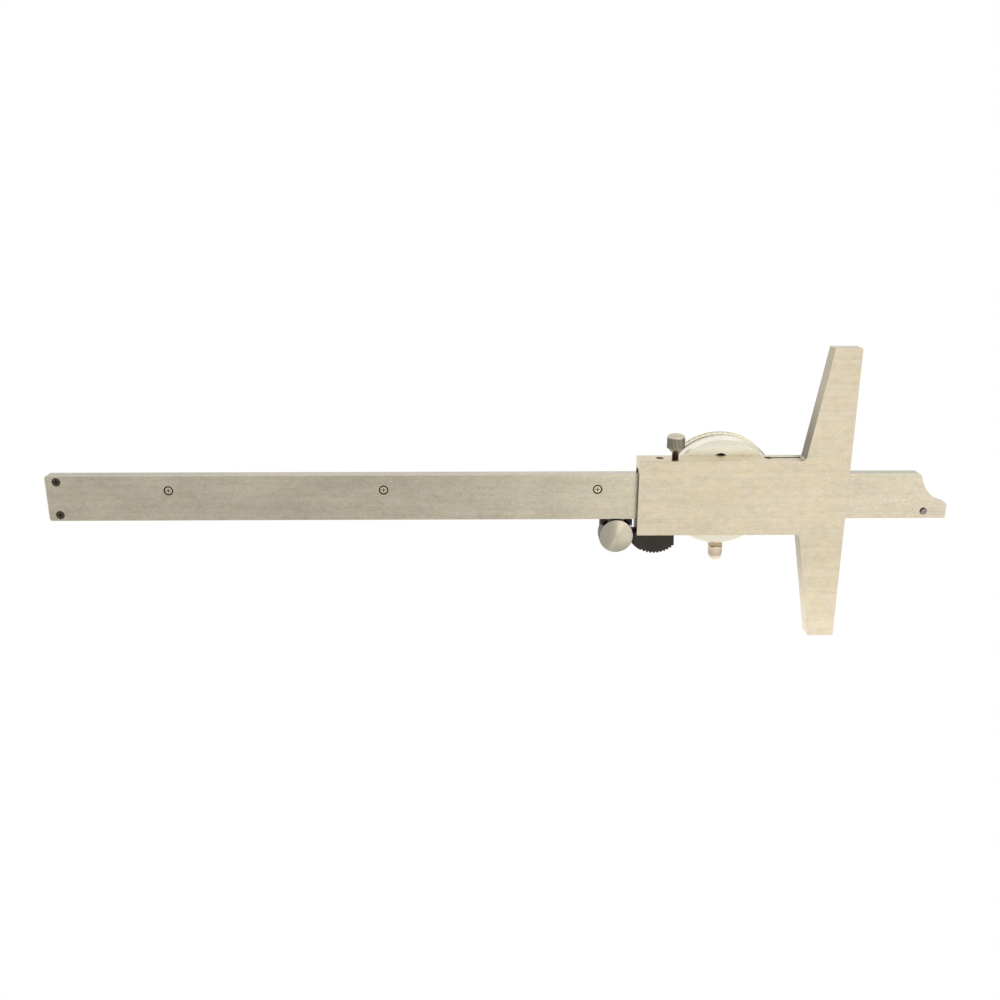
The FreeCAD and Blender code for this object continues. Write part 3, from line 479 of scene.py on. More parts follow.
def slider_shade(finish, place):
    """Painted shade inside the beam's channel and on the end walls above it, on the arms' sides, and in the
    corner between the slider and its upper arm."""
    x, y, z = finish.parts(place)
    ends = abs(finish.facing()[0]).rise(*SIDE_FACING)
    beam = box_mm("beam")[1].y
    over_beam = (1 - (y - beam).rise(*END_WALL_SPAN)) * y.past(-SLIDER_WALL, 2 * BLEND)
    channel = (1 - (abs(y) - beam).rise(*CHANNEL_SPAN)) * z.rise(*CHANNEL_START) * (1 - z.rise(*CHANNEL_END))
    arms = ends * (ARM_SHADE - ARM_SHADE_FADE * abs(y).rise(*ARM_FADE_SPAN))
    arms = arms * (1 - z.rise(*ARM_TOP_SPAN)) * abs(y).rise(*ARM_ROOT_SPAN)
    arms = arms * (ARM_LOWER_SHARE + (1 - ARM_LOWER_SHARE) * y.rise(*ARM_SIDE_SPAN))
    upper = finish.facing()[1].rise(*SIDE_FACING)
    upper = upper * (y - beam).rise(*CORNER_ABOVE) * (1 - abs(y).rise(*CORNER_BELOW))
    corner = upper * (1 - x.rise(*CORNER_SPAN)) * CORNER_SHADE
    return (ends * over_beam * END_WALL_SHADE + channel + arms + corner).rise(0, 1)


def slider_polish(finish, place):
    """How much painted light the slider gets along its length and down its lower arm."""
    x, y = finish.parts(place)[:2]
    lower_arm = LOWER_ARM_GAIN * (1 - y.rise(*LOWER_ARM_SPAN))
    return SLIDER_TONE + SLIDER_GAIN * x.rise(*SLIDER_GAIN_SPAN) + lower_arm


def worn_edge(name, colour):
    """The eased edge of a steel piece, rubbed bright by hands and the bench, and lighter still as a painted
    highlight.
    """
    finish = Finish(name)
    place = finish.place()
    rub = finish.grain(place, *EDGE_RUB)
    nicks = finish.grain(place, *EDGE_NICKS)
    tone = EDGE_TONE + rub.sway(EDGE_RUB_TONE) + nicks.sway(EDGE_NICKS_TONE)
    return finish.coat(Base_Color=finish.scaled(colour, tone), Metallic=1.0,
                       Roughness=EDGE_ROUGH + rub.sway(SKIN_DULL), Normal=finish.relief(nicks, EDGE_RELIEF))


def turned_steel(name, colour, shade, centre, rough=0.34, ring=0.16, tone_range=0.1, depth=0.004,
                 wells=(), sheen=0.0, painted_light_by_slider=None):
    """Steel turned on a lathe: rings about an upright centre line, and a painted bow-tie sheen on a faced
    end.
    The shade colour goes on the surfaces that don't face along Z as painted light: lighter on the case and
    bezel, darker on the roller's rim. Wells get painted shade. The colour given by the slider is painted
    light on the band just past the slider's upper wall."""
    finish = Finish(name)
    place = finish.place()
    x, y = finish.parts(place)[:2]
    radius = ((x - centre[0]) ** 2 + (y - centre[1]) ** 2) ** 0.5
    drift = finish.grain(place, *TURNED_DRIFT)
    ridges = (((radius + drift * ring) * (2 * math.pi / ring)).sine() + 1) / 2
    clouds = finish.grain(place, *TURNED_CLOUDS)
    flat = abs(finish.facing()[2]).rise(*TURNED_FACING)
    fine = finish.grain(place, *TURNED_FINE)
    # A painted highlight: the bow-tie sheen, brightest along one direction across a faced end.
    along = (x - centre[0]) * SHEEN_ALONG[0] + (y - centre[1]) * SHEEN_ALONG[1]
    bright = (abs(along / (radius + CENTRE_SAFE)) ** SHEEN_TIGHT) * flat * sheen
    face = colour
    if painted_light_by_slider:
        above = y - SLIDER_WALL
        face = finish.mix(above.rise(*PAINTED_LIGHT_START) * (1 - above.rise(*PAINTED_LIGHT_END)), colour, painted_light_by_slider)
    tone = 1 + clouds.sway(tone_range) + fine.sway(tone_range) + bright
    base = finish.scaled(finish.mix(flat, shade, face), tone)
    if wells:
        base = finish.mix(finish.wells(place, wells), base, BLACK_SHADE)
    return finish.coat(Base_Color=base, Metallic=1.0, Roughness=rough + clouds.sway(TURNED_DULL),
                       Normal=finish.relief(ridges * flat, depth))


def knurled_steel(name, colour, groove_shade, axis, knurl, taper, stem, dull, rough=0.36):
    """A knurled screw about a line along Y: painted shade in the grooves and on the stem, less of it where
    the stem faces along Z, and the knurl darker as a whole.
    The knurl is given by its start, end, radius and depth, and the stem by its start, end and radius.
    The taper is given by where it starts and ends, and by how much it narrows the knurl."""
    finish = Finish(name)
    place = finish.place()
    x, y, z = finish.parts(place)
    reach = ((x - axis[0]) ** 2 + (z - axis[1]) ** 2) ** 0.5
    dust = finish.grain(place, *KNURL_DUST)
    along = y.past(knurl[0]) * (1 - y.past(knurl[1]))
    outside = knurl[2] - (1 - y.rise(taper[0], taper[1])) * taper[2]
    groove = along * (1 - (reach - outside).rise(-knurl[3], 0))
    groove = groove * (1 - abs(finish.facing()[1]).rise(*KNURL_FACING))
    bare = y.rise(stem[0] - BLEND, stem[0]) * (1 - y.rise(stem[1], stem[1] + BLEND))
    bare = bare * (1 - (reach - stem[2]).rise(*STEM_SPAN))
    stem_shade = STEM_SHADE - abs(finish.facing()[2]).rise(*STEM_FACING) * STEM_LIT
    base = finish.mix((groove + bare * stem_shade).rise(0, 1), colour, groove_shade)
    base = finish.scaled(base, (1 + dust.sway(DUST_TONE)) * (1 - along * dull))
    return finish.coat(Base_Color=base, Metallic=1.0, Roughness=rough + dust.sway(SKIN_DULL),
                       Normal=finish.relief(dust, KNURL_RELIEF))


def plain_steel(name, colour, rough=0.35, tone_range=0.22, metal=1.0):
    """Small turned steel parts with a faint mottled skin."""
    finish = Finish(name)
    place = finish.place()
    skin = finish.grain(place, *STEEL_SKIN)
    pits = finish.grain(place, *STEEL_PITS)
    return finish.coat(Base_Color=finish.scaled(colour, 1 + skin.sway(tone_range)), Metallic=metal,
                       Roughness=rough + skin.sway(SKIN_DULL), Normal=finish.relief(pits, SKIN_RELIEF))


def screw_heads(name, colour, recess_shade, low):
    """Screws seen from the back of the beam: a bright or black head, with painted shade down in the hollow of
    it.
    """
    finish = Finish(name)
    place = finish.place()
    depth = finish.parts(place)[2] - low
    skin = finish.grain(place, *HEAD_SKIN)
    head = finish.scaled(colour, 1 + skin.sway(SKIN_TONE))
    return finish.coat(Base_Color=finish.mix(depth.rise(*RECESS_SPAN), head, recess_shade), Metallic=1.0,
                       Roughness=HEAD_ROUGH + skin.sway(SKIN_DULL), Normal=finish.relief(skin, SKIN_RELIEF))


def pin_finish(name, colour, rim_shade, centre, radius):
    """The nose pin's end, with painted shade along one side of its rim."""
    finish = Finish(name)
    place = finish.place()
    x, y = finish.parts(place)[:2]
    skin = finish.grain(place, *HEAD_SKIN)
    towards = ((x - centre[0]) + (y - centre[1])) * DIAGONAL
    reach = ((x - centre[0]) ** 2 + (y - centre[1]) ** 2) ** 0.5
    shaded_rim = ((reach * PIN_SHADE_REACH + towards) / radius).rise(*PIN_SHADE_SPAN)
    head = finish.scaled(colour, 1 + skin.sway(SKIN_TONE))
    return finish.coat(Base_Color=finish.mix(shaded_rim, head, rim_shade), Metallic=1.0,
                       Roughness=PIN_ROUGH + skin.sway(SKIN_DULL), Normal=finish.relief(skin, SKIN_RELIEF))


def moulded_black(name, colour, dust):
    """Black moulded plastic with a fine spark-eroded grain and a little dust in it."""
    finish = Finish(name)
    place = finish.place()
    pebble = finish.grain(place, *PLASTIC_PEBBLE)
    smear = finish.grain(place, *PLASTIC_SMEAR)
    dusty = pebble.rise(*PEBBLE_SPAN) * PEBBLE_DUST + smear.rise(*SMEAR_SPAN) * SMEAR_DUST
    return finish.coat(Base_Color=finish.mix(dusty, colour, dust), Specular_IOR_Level=PLASTIC_SHINE,
                       Roughness=PLASTIC_ROUGH + smear.sway(SKIN_DULL),
                       Normal=finish.relief(pebble, PLASTIC_RELIEF))


def enamel(name, colour, rough=0.42):
    """Smooth baked enamel, slightly uneven."""
    finish = Finish(name)
    place = finish.place()
    flow = finish.grain(place, *ENAMEL_FLOW)
    fine = finish.grain(place, *ENAMEL_FINE)
    return finish.coat(Base_Color=finish.scaled(colour, 1 + flow.sway(ENAMEL_TONE)),
                       Roughness=rough + flow.sway(ENAMEL_DULL), Normal=finish.relief(fine, ENAMEL_RELIEF))


def clear_crystal(name):
    """The clear acrylic crystal, which lets the lamps through to the dial."""
    finish = Finish(name)
    wipe = finish.grain(finish.place(), *CRYSTAL_WIPE)
    glass = finish.value("ShaderNodeBsdfPrincipled", 0, None, {
        "Base Color": CRYSTAL_TINT, "Transmission Weight": 1.0, "IOR": CRYSTAL_BEND,
        "Roughness": CRYSTAL_ROUGH + wipe * CRYSTAL_WIPE_ROUGH})
    through = finish.value("ShaderNodeBsdfTransparent", 0)
    lamp_ray = finish.value("ShaderNodeLightPath", "Is Shadow Ray")
    surface = finish.value("ShaderNodeMixShader", 0, None, {0: lamp_ray, 1: glass, 2: through})
    finish.node("ShaderNodeOutputMaterial", None, {0: surface})
    return finish.material


def piece(name, shape, body, slot, *materials):
    """Puts a finished mesh into the scene, on its body and with its materials; its slot is not used."""
    mesh = bpy.data.meshes.new(name)
    shape.to_mesh(mesh)
    shape.free()
    for material in materials:
        mesh.materials.append(material)
    thing = bpy.data.objects.new(name, mesh)
    bpy.context.scene.collection.objects.link(thing)
    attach(thing, body)
    return thing


def soften(shape):
    """Smooth shading, with every edge sharper than the limit kept crisp."""
    for face in shape.faces:
        face.smooth = True
    for edge in shape.edges:
        edge.smooth = edge.is_manifold and edge.calc_face_angle() < math.radians(SHARP_ANGLE)


def beam_wells():
    """The centres and radii of the wells in the back of the beam: rack screws, end screws and pin."""
    low, high = box_mm("rack_screws")
    radius = (high.y - low.y) / 2
    pitch = (high.x - low.x - 2 * radius) / (RACK_SCREW_COUNT - 1)
    wells = []
    for index in range(RACK_SCREW_COUNT):
        wells.append((low.x + radius + index * pitch, low.y + radius, radius + SCREW_WELL_GAP + WELL_RIM))
    low, high = box_mm("end_stop_screws")
    radius = (high.x - low.x) / 2
    for y in (low.y + radius, high.y - radius):
        wells.append((low.x + radius, y, radius + WELL_RIM))
    low, high = box_mm("nose_pin")
    radius = (high.x - low.x) / 2
    wells.append((low.x + radius, low.y + radius, radius + WELL_RIM))
    return wells


def at_well(line, wells):
    """Whether an edge lies on the rim or inside one of these upright wells."""
    for centre_x, centre_y, radius in wells:
        reach = max(math.hypot(vert.co.x / MM - centre_x, vert.co.y / MM - centre_y) for vert in line.verts)
        if reach < radius + 2 * WELL_RIM:
            return True
    return False


def widen_notches(shape):
    """Opens the notches round the thumb grip until sharp teeth are left between them."""
    low, high = box_mm("thumb_grip")
    centre = Vector((high.x - GRIP_DISC_IN, low.y + GRIP_RADIUS))
    middle = (GRIP_NOTCHES - 1) / 2
    for vert in shape.verts:
        spoke = Vector((vert.co.x / MM - centre.x, vert.co.y / MM - centre.y))
        turn = (math.degrees(math.atan2(spoke.y, spoke.x)) - GRIP_NOTCH_MIDDLE) / GRIP_NOTCH_ANGLE
        nearest = round(turn + middle)
        off = turn + middle - nearest
        at_rim = spoke.length > GRIP_RADIUS - GRIP_RIM and 0 <= nearest < GRIP_NOTCHES
        if at_rim and GRIP_NOTCH_BOTTOM < abs(off) < GRIP_TOOTH:
            angle = nearest - middle + math.copysign(GRIP_TOOTH, off)
            angle = math.radians(GRIP_NOTCH_MIDDLE + angle * GRIP_NOTCH_ANGLE)
            vert.co.x = (centre.x + spoke.length * math.cos(angle)) * MM
            vert.co.y = (centre.y + spoke.length * math.sin(angle)) * MM


def eased(node, name, body, slot, width, face, edge, wells=()):
    """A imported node's own solid with its arrises eased, but for the rims of its wells, in two finishes."""
    shape = bmesh.new()
    shape.from_mesh(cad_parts[node].data)
    bmesh.ops.remove_doubles(shape, verts=shape.verts, dist=WELD * MM)
    bmesh.ops.dissolve_limit(shape, angle_limit=math.radians(FLAT_ANGLE), verts=shape.verts,
                             edges=shape.edges)
    if node == "thumb_grip":
        widen_notches(shape)
    for flat in shape.faces:
        flat.material_index = 0
    arrises = []
    for line in shape.edges:
        sharp = line.is_manifold and line.calc_face_angle() > math.radians(SHARP_ANGLE)
        if sharp and not at_well(line, wells):
            arrises.append(line)
    bmesh.ops.bevel(shape, geom=arrises, offset=width * MM, segments=EASE_STEPS, profile=EASE_PROFILE,
                    affect="EDGES", clamp_overlap=True, material=1)
    soften(shape)
    thing = piece(name, shape, body, slot, face, edge)
    weighted = thing.modifiers.new("flat_faces", "WEIGHTED_NORMAL")
    weighted.keep_sharp = True
    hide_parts(node)
    return thing


def outline(start, radius, table):
    """Rows of a turned shape: height, radius and how far the knurl cuts in, as a share."""
    return [(start + along, radius - inside, share) for along, inside, share in table]


def spun(rows, count, groove_depth):
    """A turned shape about Z from the rows of its outline, with this many grooves in its knurl."""
    shape = bmesh.new()
    rings = []
    corners = count * GROOVE_STEPS
    for height, radius, cut_share in rows:
        ring = []
        for index in range(corners):
            turn = 2 * math.pi * index / corners
            groove = (1 - math.cos(2 * math.pi * index / GROOVE_STEPS)) / 2
            reach = (radius - groove_depth * cut_share * groove) * MM
            ring.append(shape.verts.new((reach * math.cos(turn), reach * math.sin(turn), height * MM)))
        rings.append(ring)
    for lower, upper in zip(rings, rings[1:]):
        for index in range(corners):
            after = (index + 1) % corners
            shape.faces.new((lower[index], lower[after], upper[after], upper[index]))
    shape.faces.new(list(reversed(rings[0])))
    shape.faces.new(rings[-1])
    soften(shape)
    return shape


def lay_along_y(shape, x, y, z, angle):
    """Tips a shape about Z over until it lies along Y, then moves it to its place."""
    turn = Matrix.Translation((x * MM, y * MM, z * MM)) @ Matrix.Rotation(math.radians(angle), 4, "X")
    bmesh.ops.transform(shape, matrix=turn, verts=shape.verts)


def bar(shape, centre, along, length, width, low):
    """A thin printed bar: its centre, the direction it runs in, and its place in height."""
    across = Vector((-along[1], along[0]))
    half_length = Vector(along) * length / 2
    half_width = across * width / 2
    corners = [half_length + half_width, half_width - half_length,
               -half_length - half_width, half_length - half_width]
    lower = []
    upper = []
    for corner in corners:
        spot = Vector(centre) + corner
        lower.append(shape.verts.new((spot.x * MM, spot.y * MM, low * MM)))
        upper.append(shape.verts.new((spot.x * MM, spot.y * MM, (low + PRINT_THICK) * MM)))
    shape.faces.new(upper)
    shape.faces.new(list(reversed(lower)))
    for index in range(len(corners)):
        after = (index + 1) % len(corners)
        shape.faces.new((lower[index], lower[after], upper[after], upper[index]))


def figures(shape, text, centre, size, low):
    """Adds plain printed figures, centred on a spot."""
    letters = bpy.data.curves.new("figures", "FONT")
    letters.body = text
    letters.size = size * MM
    letters.align_x = "CENTER"
    letters.align_y = "CENTER"
    letters.extrude = PRINT_THICK / 2 * MM
    letters.resolution_u = FIGURE_STEPS
    holder = bpy.data.objects.new("figures", letters)
    bpy.context.scene.collection.objects.link(holder)
    bpy.context.view_layer.update()
    flat = bpy.data.meshes.new_from_object(holder.evaluated_get(bpy.context.evaluated_depsgraph_get()))
    flat.transform(Matrix.Translation((centre[0] * MM, centre[1] * MM, (low + PRINT_THICK / 2) * MM)))
    shape.from_mesh(flat)
    bpy.data.objects.remove(holder)
    bpy.data.curves.remove(letters)
    bpy.data.meshes.remove(flat)


# Places that the finishes need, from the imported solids
DIAL_CENTRE = ((box_mm("dial_face")[0].x + box_mm("dial_face")[1].x) / 2, 0)
CASE_WELL = (DIAL_CENTRE[0] + CASE_HOLE_ALONG, CASE_HOLE_HIGH, CASE_HOLE_RADIUS)
SLIDER_WALL = box_mm("front_plate")[1].y
RACK_SCREW_LOW = box_mm("beam")[0].z + RACK_SCREW_SUNK
END_SCREW_LOW = box_mm("beam")[0].z + END_SCREW_SUNK
PIN_LOW, PIN_HIGH = box_mm("nose_pin")
PIN_CENTRE = ((PIN_LOW.x + PIN_HIGH.x) / 2, (PIN_LOW.y + PIN_HIGH.y) / 2)
PIN_RADIUS = (PIN_HIGH.x - PIN_LOW.x) / 2

# Finishes
SHADE = light(72, 64, 50)
BLACK_SHADE = light(26, 18, 14)
beam_face = ground_steel("beam_steel", light(174, 167, 150), light(175, 167, 147), light(170, 163, 151),
                         light(198, 192, 175), beam_shade, beam_polish)
beam_edge = worn_edge("beam_edge_steel", light(206, 198, 178))
# The slider's sides are lighter than its flats: a milled finish, and painted light where the dial case shades
# the upper edge.
slider_face = ground_steel("slider_steel", light(173, 164, 146), light(176, 166, 143), light(170, 161, 148),
                           light(212, 200, 174), slider_shade, slider_polish)
slider_edge = worn_edge("slider_edge_steel", light(184, 171, 144))
# The case's sides and chamfer get a painted highlight, its hole painted shade, and the band past the slider's
# wall painted light.
case_face = turned_steel("case_steel", light(182, 179, 167), light(244, 240, 226), DIAL_CENTRE,
                         tone_range=0.3, depth=0.001, wells=[CASE_WELL], painted_light_by_slider=light(214, 212, 201))
case_edge = worn_edge("case_edge_steel", light(220, 216, 202))
clip_steel = plain_steel("clip_steel", light(150, 136, 110), rough=0.42, tone_range=0.5)
# The bezel's side gets a painted highlight.
bezel_face = turned_steel("bezel_steel", light(214, 209, 193), light(240, 234, 217), DIAL_CENTRE, rough=0.42)
bezel_edge = worn_edge("bezel_edge_steel", light(238, 232, 212))
screw_steel = plain_steel("screw_steel", light(190, 182, 158))
rack_screw_steel = screw_heads("rack_screw_steel", light(186, 178, 152), light(104, 94, 72), RACK_SCREW_LOW)
end_screw_steel = screw_heads("end_screw_steel", light(74, 69, 61), light(52, 47, 40), END_SCREW_LOW)
dark_steel = plain_steel("dark_steel", light(120, 116, 108))
black_steel = plain_steel("black_steel", light(62, 56, 48), rough=0.45, tone_range=0.5, metal=0.6)
pin_steel = pin_finish("pin_steel", light(118, 106, 108), light(44, 38, 34), PIN_CENTRE, PIN_RADIUS)
brass = plain_steel("brass", light(206, 172, 98), rough=0.3)
# The movement plate is painted near black: painted shade where it shows through the case's hole.
brass_painted_dark = plain_steel("brass_painted_dark", light(34, 26, 18), rough=0.5)
bronze = plain_steel("bush_bronze", light(176, 128, 78), rough=0.32)
black_plastic = moulded_black("black_plastic", light(64, 61, 57), light(96, 92, 86))
pointer_black = enamel("pointer_black", light(24, 23, 23), rough=0.35)
dial_white = enamel("dial_white", light(240, 238, 230))
ink = enamel("dial_ink", light(22, 22, 24), rough=0.5)
scale_ink = enamel("scale_ink", light(38, 36, 34), rough=0.55)
crystal_clear = clear_crystal("crystal_clear")

NODE_FINISHES = {
    "rack": dark_steel, "rack_screws": rack_screw_steel, "end_stop_screws": end_screw_steel,
    "nose_pin": pin_steel, "front_plate_screws": screw_steel, "gib_strip": brass, "gib_screws": black_steel,
    "thumb_grip_screws": screw_steel, "roller_axle": screw_steel, "case_screws": screw_steel,
    "movement_plate": brass_painted_dark, "movement_plate_screws": screw_steel, "bridge_pillars": brass,
    "bridge": brass, "bridge_screws": screw_steel, "plate_bushes": bronze, "bridge_bushes": bronze,
    "hairspring": dark_steel, "hairspring_stud": brass, "bezel_spring": dark_steel,
    "rack_pinion": dark_steel, "drive_wheel": brass, "takeup_arbor": dark_steel, "takeup_wheel": brass,
    "centre_arbor": dark_steel, "pointer": pointer_black, "pointer_boss": pointer_black,
    "crystal": crystal_clear, "dial_face": dial_white,
}


def dress_nodes():
    """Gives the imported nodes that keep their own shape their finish."""
    for node, material in NODE_FINISHES.items():
        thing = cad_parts[node]
        thing.data.materials.clear()
        thing.data.materials.append(material)


def make_eased_pieces():
    """The ground, turned and moulded pieces with eased edges."""
    eased("beam", "beam_ground", "beam", "beam_steel", BEAM_EASE, beam_face, beam_edge, beam_wells())
    eased("end_stop", "end_stop_ground", "beam", "beam_steel", SMALL_EASE, beam_face, beam_edge)
    eased("slider_body", "slider_ground", "slider", "slider_steel", SLIDER_EASE, slider_face, slider_edge)
    eased("front_plate", "front_plate_ground", "slider", "slider_steel", PLATE_EASE, slider_face, slider_edge)
    eased("dial_case", "dial_case_turned", "slider", "case_steel", CASE_EASE, case_face, case_edge,
          [CASE_WELL])
    eased("bezel", "bezel_turned", "bezel", "bezel_steel", BEZEL_EASE, bezel_face, bezel_edge)
    eased("bezel_clip", "bezel_clip_milled", "slider", "case_steel", SMALL_EASE, clip_steel, clip_steel)
    eased("thumb_grip", "thumb_grip_moulded", "slider", "black_plastic", GRIP_EASE, black_plastic,
          black_plastic)


def make_clamp_screw():
    """The knurled thumbscrew on the slider's upper edge, with its rounded crown."""
    low, high = box_mm("clamp_screw")
    axis = ((low.x + high.x) / 2, (low.z + high.z) / 2)
    radius = (high.x - low.x) / 2
    crown = high.y - CLAMP_CROWN_LENGTH
    knurl = crown - CLAMP_KNURL_LENGTH
    neck = knurl - CLAMP_CONE_LENGTH
    rows = [(low.y, CLAMP_STEM_RADIUS, 0), (neck, CLAMP_STEM_RADIUS, 0),
            (neck + CLAMP_CONE_STEP, CLAMP_CONE_RADIUS, 0)]
    rows += outline(knurl, radius, CLAMP_OUTLINE)
    for step in range(1, GROOVE_STEPS + 1):
        turn = math.pi / 2 * step / (GROOVE_STEPS + 1)
        inside = CLAMP_CROWN_ROUND * (1 - math.cos(turn)) + CLAMP_CROWN_IN
        rows.append((crown + CLAMP_CROWN_LENGTH * math.sin(turn), radius - inside, 0))
    rows.append((high.y, radius - CLAMP_TOP_IN, 0))
    shape = spun(rows, CLAMP_GROOVES, CLAMP_GROOVE_DEPTH)
    lay_along_y(shape, axis[0], 0, axis[1], -90)
    finish = knurled_steel("clamp_knurl_steel", light(200, 193, 174), light(84, 75, 58), axis,
                           (knurl, crown, radius, CLAMP_GROOVE_DEPTH), (low.y, knurl, 0),
                           (low.y, neck, CLAMP_STEM_RADIUS), dull=0.42)
    screw = piece("clamp_screw_knurled", shape, "clamp_screw", "knob_steel", finish)
    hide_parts("clamp_screw")


def make_bezel_knob():
    """The small knurled knob that locks the bezel, tapered towards its end."""
    low, high = box_mm("bezel_knob")
    axis = ((low.x + high.x) / 2, (low.z + high.z) / 2)
    radius = (high.x - low.x) / 2
    head = low.y + KNOB_HEAD_LENGTH
    rows = [(low.y - high.y, KNOB_STEM_RADIUS, 0), (-KNOB_HEAD_LENGTH, KNOB_STEM_RADIUS, 0)]
    rows += outline(0, radius, KNOB_OUTLINE)
    shape = spun(rows, KNOB_GROOVES, KNOB_GROOVE_DEPTH)
    lay_along_y(shape, axis[0], low.y, axis[1], 90)
    finish = knurled_steel("knob_knurl_steel", light(236, 227, 209), light(184, 170, 146), axis,
                           (low.y + KNOB_TAPER_END, head, radius, KNOB_GROOVE_DEPTH),
                           (low.y + KNOB_TAPER_END, low.y + KNOB_TAPER_START, KNOB_TAPER),
                           (head, high.y, KNOB_STEM_RADIUS), dull=0.0, rough=0.42)
    knob = piece("bezel_knob_knurled", shape, "bezel_knob", "knob_steel", finish)
    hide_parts("bezel_knob")


def make_thumb_roller():
    """The turned thumb roller with a finely serrated rim."""
    low, high = box_mm("thumb_roller")
    centre = ((low.x + high.x) / 2, (low.y + high.y) / 2)
    radius = (high.x - low.x) / 2
    rows = outline(0, radius, ROLLER_EDGE)
    rows += [(high.z - low.z - height, reach, share) for height, reach, share in reversed(rows)]
    shape = spun(rows, ROLLER_GROOVES, ROLLER_GROOVE_DEPTH)
    bmesh.ops.translate(shape, vec=(centre[0] * MM, centre[1] * MM, low.z * MM), verts=shape.verts)
    # The roller's rim gets painted shade, and its faces a painted bow-tie sheen.
    finish = turned_steel("roller_steel", light(160, 153, 138), light(46, 40, 33), centre, rough=0.3,
                          ring=0.24, sheen=0.28)
    roller = piece("thumb_roller_turned", shape, "thumb_roller", "roller_steel", finish)
    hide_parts("thumb_roller")


def on_dial(angle, reach):
    """A spot on the dial, at this angle in radians and this far from its centre."""
    return (DIAL_CENTRE[0] + math.cos(angle) * reach, DIAL_CENTRE[1] + math.sin(angle) * reach)


def make_dial_print():
    """The dial's divisions and figures: one turn is two millimetres in steps of two hundredths."""
    low = box_mm("dial_face")[1].z
    shape = bmesh.new()
    ring_length = 2 * math.pi * TICK_OUTSIDE / DIAL_DIVISIONS
    for index in range(DIAL_DIVISIONS):
        angle = math.radians(90 - 360 * index / DIAL_DIVISIONS)
        length = TICK_LENGTH
        width = TICK_WIDTH
        if index % 5 == 0:
            length = TICK_LENGTH_FIVE
        if index % 10 == 0:
            length = TICK_LENGTH_TEN
            width = TICK_WIDTH_TEN
        along = (math.cos(angle), math.sin(angle))
        bar(shape, on_dial(angle, TICK_OUTSIDE - length / 2), along, length, width, low)
        angle = angle - math.pi / DIAL_DIVISIONS
        along = (-math.sin(angle), math.cos(angle))
        bar(shape, on_dial(angle, TICK_OUTSIDE), along, ring_length, DIAL_RING_WIDTH, low)
    for count in range(DIAL_FIGURES):
        angle = math.radians(90 - 360 * count / DIAL_FIGURES)
        spot = on_dial(angle, DIAL_FIGURE_RADIUS)
        figures(shape, str(DIAL_COUNT_STEP * count), spot, DIAL_FIGURE_SIZE, low)
    piece("dial_print", shape, "bezel", "pointer_black", ink)


def make_beam_scale():
    """The scale on the beam's dial side, which the slider's end reads against."""
    beam_low, beam_high = box_mm("beam")
    shape = bmesh.new()
    zero = box_mm("slider_body")[1].x + beam_low.x
    start = beam_low.y + SCALE_EDGE
    figures_at = start + MARK_LENGTH_TEN + SCALE_FIGURE_GAP + SCALE_FIGURE_SIZE * SCALE_FIGURE_HALF
    for depth in range(SCALE_LENGTH + 1):
        length = MARK_LENGTH
        if depth % 5 == 0:
            length = MARK_LENGTH_FIVE
        if depth % 10 == 0:
            length = MARK_LENGTH_TEN
            figures(shape, str(depth), (zero + depth, figures_at), SCALE_FIGURE_SIZE, beam_high.z)
        bar(shape, (zero + depth, start + length / 2), (0, 1), length, MARK_WIDTH, beam_high.z)
    piece("beam_scale", shape, "beam", "black_steel", scale_ink)


def make_floor():
    """A pale floor under the gauge, which fades out far from it. It can't be seen from below, so the back
    of the gauge can be photographed."""
    finish = Finish("studio_floor")
    x, y = finish.parts(finish.place())[:2]
    away = (((x - FLOOR_MIDDLE) ** 2 + y ** 2) ** 0.5).rise(*FLOOR_FADE)
    under = finish.value("ShaderNodeNewGeometry", "Backfacing")
    camera = finish.value("ShaderNodeLightPath", "Is Camera Ray")
    paint = finish.value("ShaderNodeBsdfDiffuse", 0, None, {"Color": FLOOR_PAINT})
    glow = finish.value("ShaderNodeEmission", 0, None, {"Color": WHITE, "Strength": 1.0})
    lit = finish.value("ShaderNodeMixShader", 0, None, {0: FLOOR_GLOW, 1: paint, 2: glow})
    clear = finish.value("ShaderNodeBsdfTransparent", 0)
    seen = camera * (1 - under) * (1 - away)
    surface = finish.value("ShaderNodeMixShader", 0, None, {0: seen, 1: clear, 2: lit})
    finish.node("ShaderNodeOutputMaterial", None, {0: surface})
    mesh = bpy.data.meshes.new("studio_floor")
    shape = bmesh.new()
    bmesh.ops.create_grid(shape, x_segments=FLOOR_PARTS, y_segments=FLOOR_PARTS, size=FLOOR_SIZE / 2 * MM)
    bmesh.ops.translate(shape, vec=(FLOOR_MIDDLE * MM, 0, -FLOOR_DROP * MM), verts=shape.verts)
    shape.to_mesh(mesh)
    shape.free()
    mesh.materials.append(finish.material)
    floor = bpy.data.objects.new("studio_floor", mesh)
    bpy.context.scene.collection.objects.link(floor)


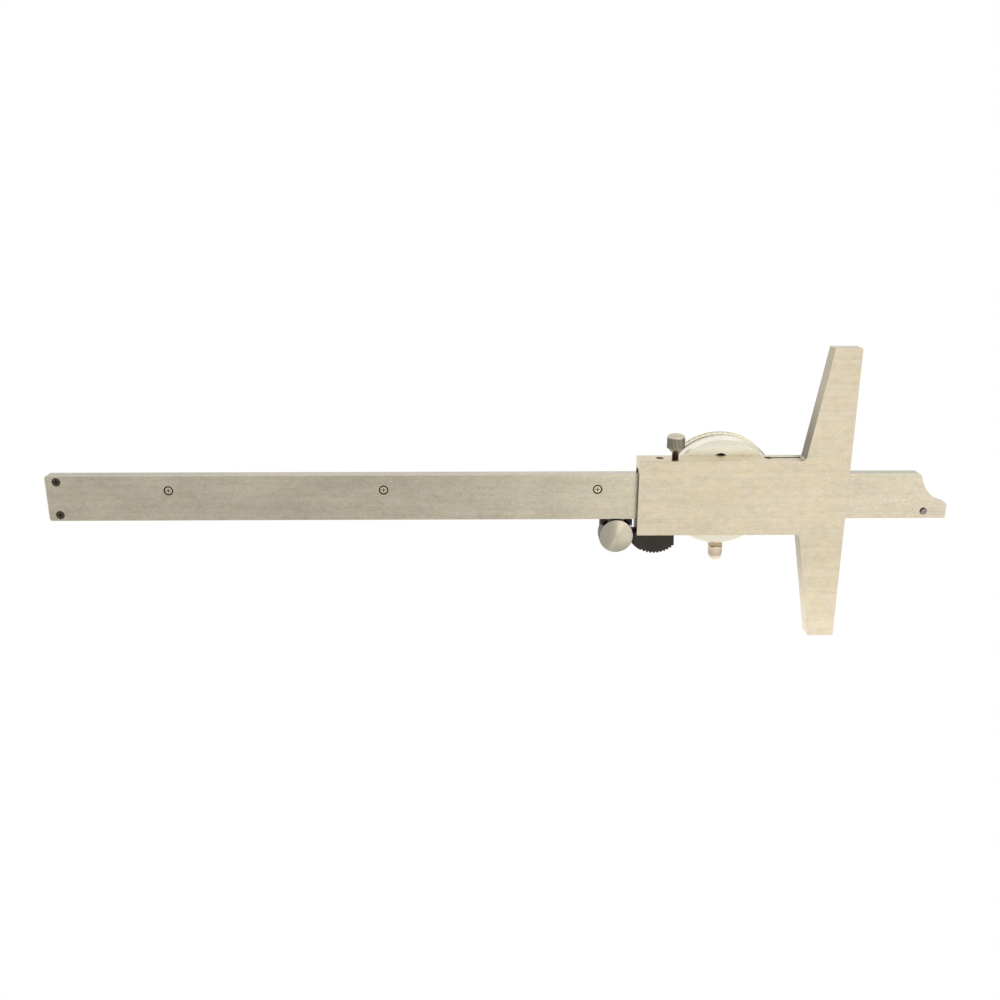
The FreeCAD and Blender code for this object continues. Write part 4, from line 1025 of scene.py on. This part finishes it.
def make_world():
    """White where the camera, a reflection or the crystal looks, and a softer light on matt surfaces."""
    studio = Finish("studio", bpy.data.worlds)
    bpy.context.scene.world = studio.material
    seen = 0
    for ray in ("Is Camera Ray", "Is Glossy Ray", "Is Transmission Ray"):
        seen = seen + studio.value("ShaderNodeLightPath", ray)
    strength = WORLD_SOFT + (1 - WORLD_SOFT) * seen.rise(0, 1)
    sky = studio.value("ShaderNodeBackground", 0, None, {"Color": WHITE, "Strength": strength})
    studio.node("ShaderNodeOutputWorld", None, {0: sky})


def make_lamps():
    """A broad warm soft box below for the back, and two soft boxes above for the dial side."""
    for name, (place, target, size, power, colour) in LAMPS.items():
        lamp = bpy.data.lights.new(name, "AREA")
        lamp.shape = "RECTANGLE"
        lamp.size = size[0] * MM
        lamp.size_y = size[1] * MM
        lamp.energy = power
        lamp.color = colour
        thing = bpy.data.objects.new(name, lamp)
        bpy.context.scene.collection.objects.link(thing)
        spot = Vector(place) * MM
        thing.location = spot
        thing.rotation_mode = "QUATERNION"
        thing.rotation_quaternion = (Vector(target) * MM - spot).to_track_quat("-Z", "Y")
        thing.visible_camera = False


def make_camera():
    """The photograph's view, from below and behind the dial."""
    right = Vector(CAMERA_RIGHT).normalized()
    ahead = Vector(CAMERA_AHEAD).normalized()
    up = right.cross(ahead).normalized()
    right = ahead.cross(up).normalized()
    camera = bpy.data.cameras.new("camera")
    camera.lens = CAMERA_LENS
    camera.sensor_width = CAMERA_SENSOR
    camera.clip_start, camera.clip_end = CAMERA_CLIPS
    thing = bpy.data.objects.new("camera", camera)
    bpy.context.scene.collection.objects.link(thing)
    axes = Matrix((right, up, -ahead)).transposed().to_4x4()
    thing.matrix_world = Matrix.Translation(Vector(CAMERA_PLACE) * MM) @ axes
    bpy.context.scene.camera = thing


dress_nodes()
make_eased_pieces()
make_clamp_screw()
make_bezel_knob()
make_thumb_roller()
make_dial_print()
make_beam_scale()
make_floor()
make_world()
make_lamps()
make_camera()
bpy.context.scene.view_settings.view_transform = "Standard"
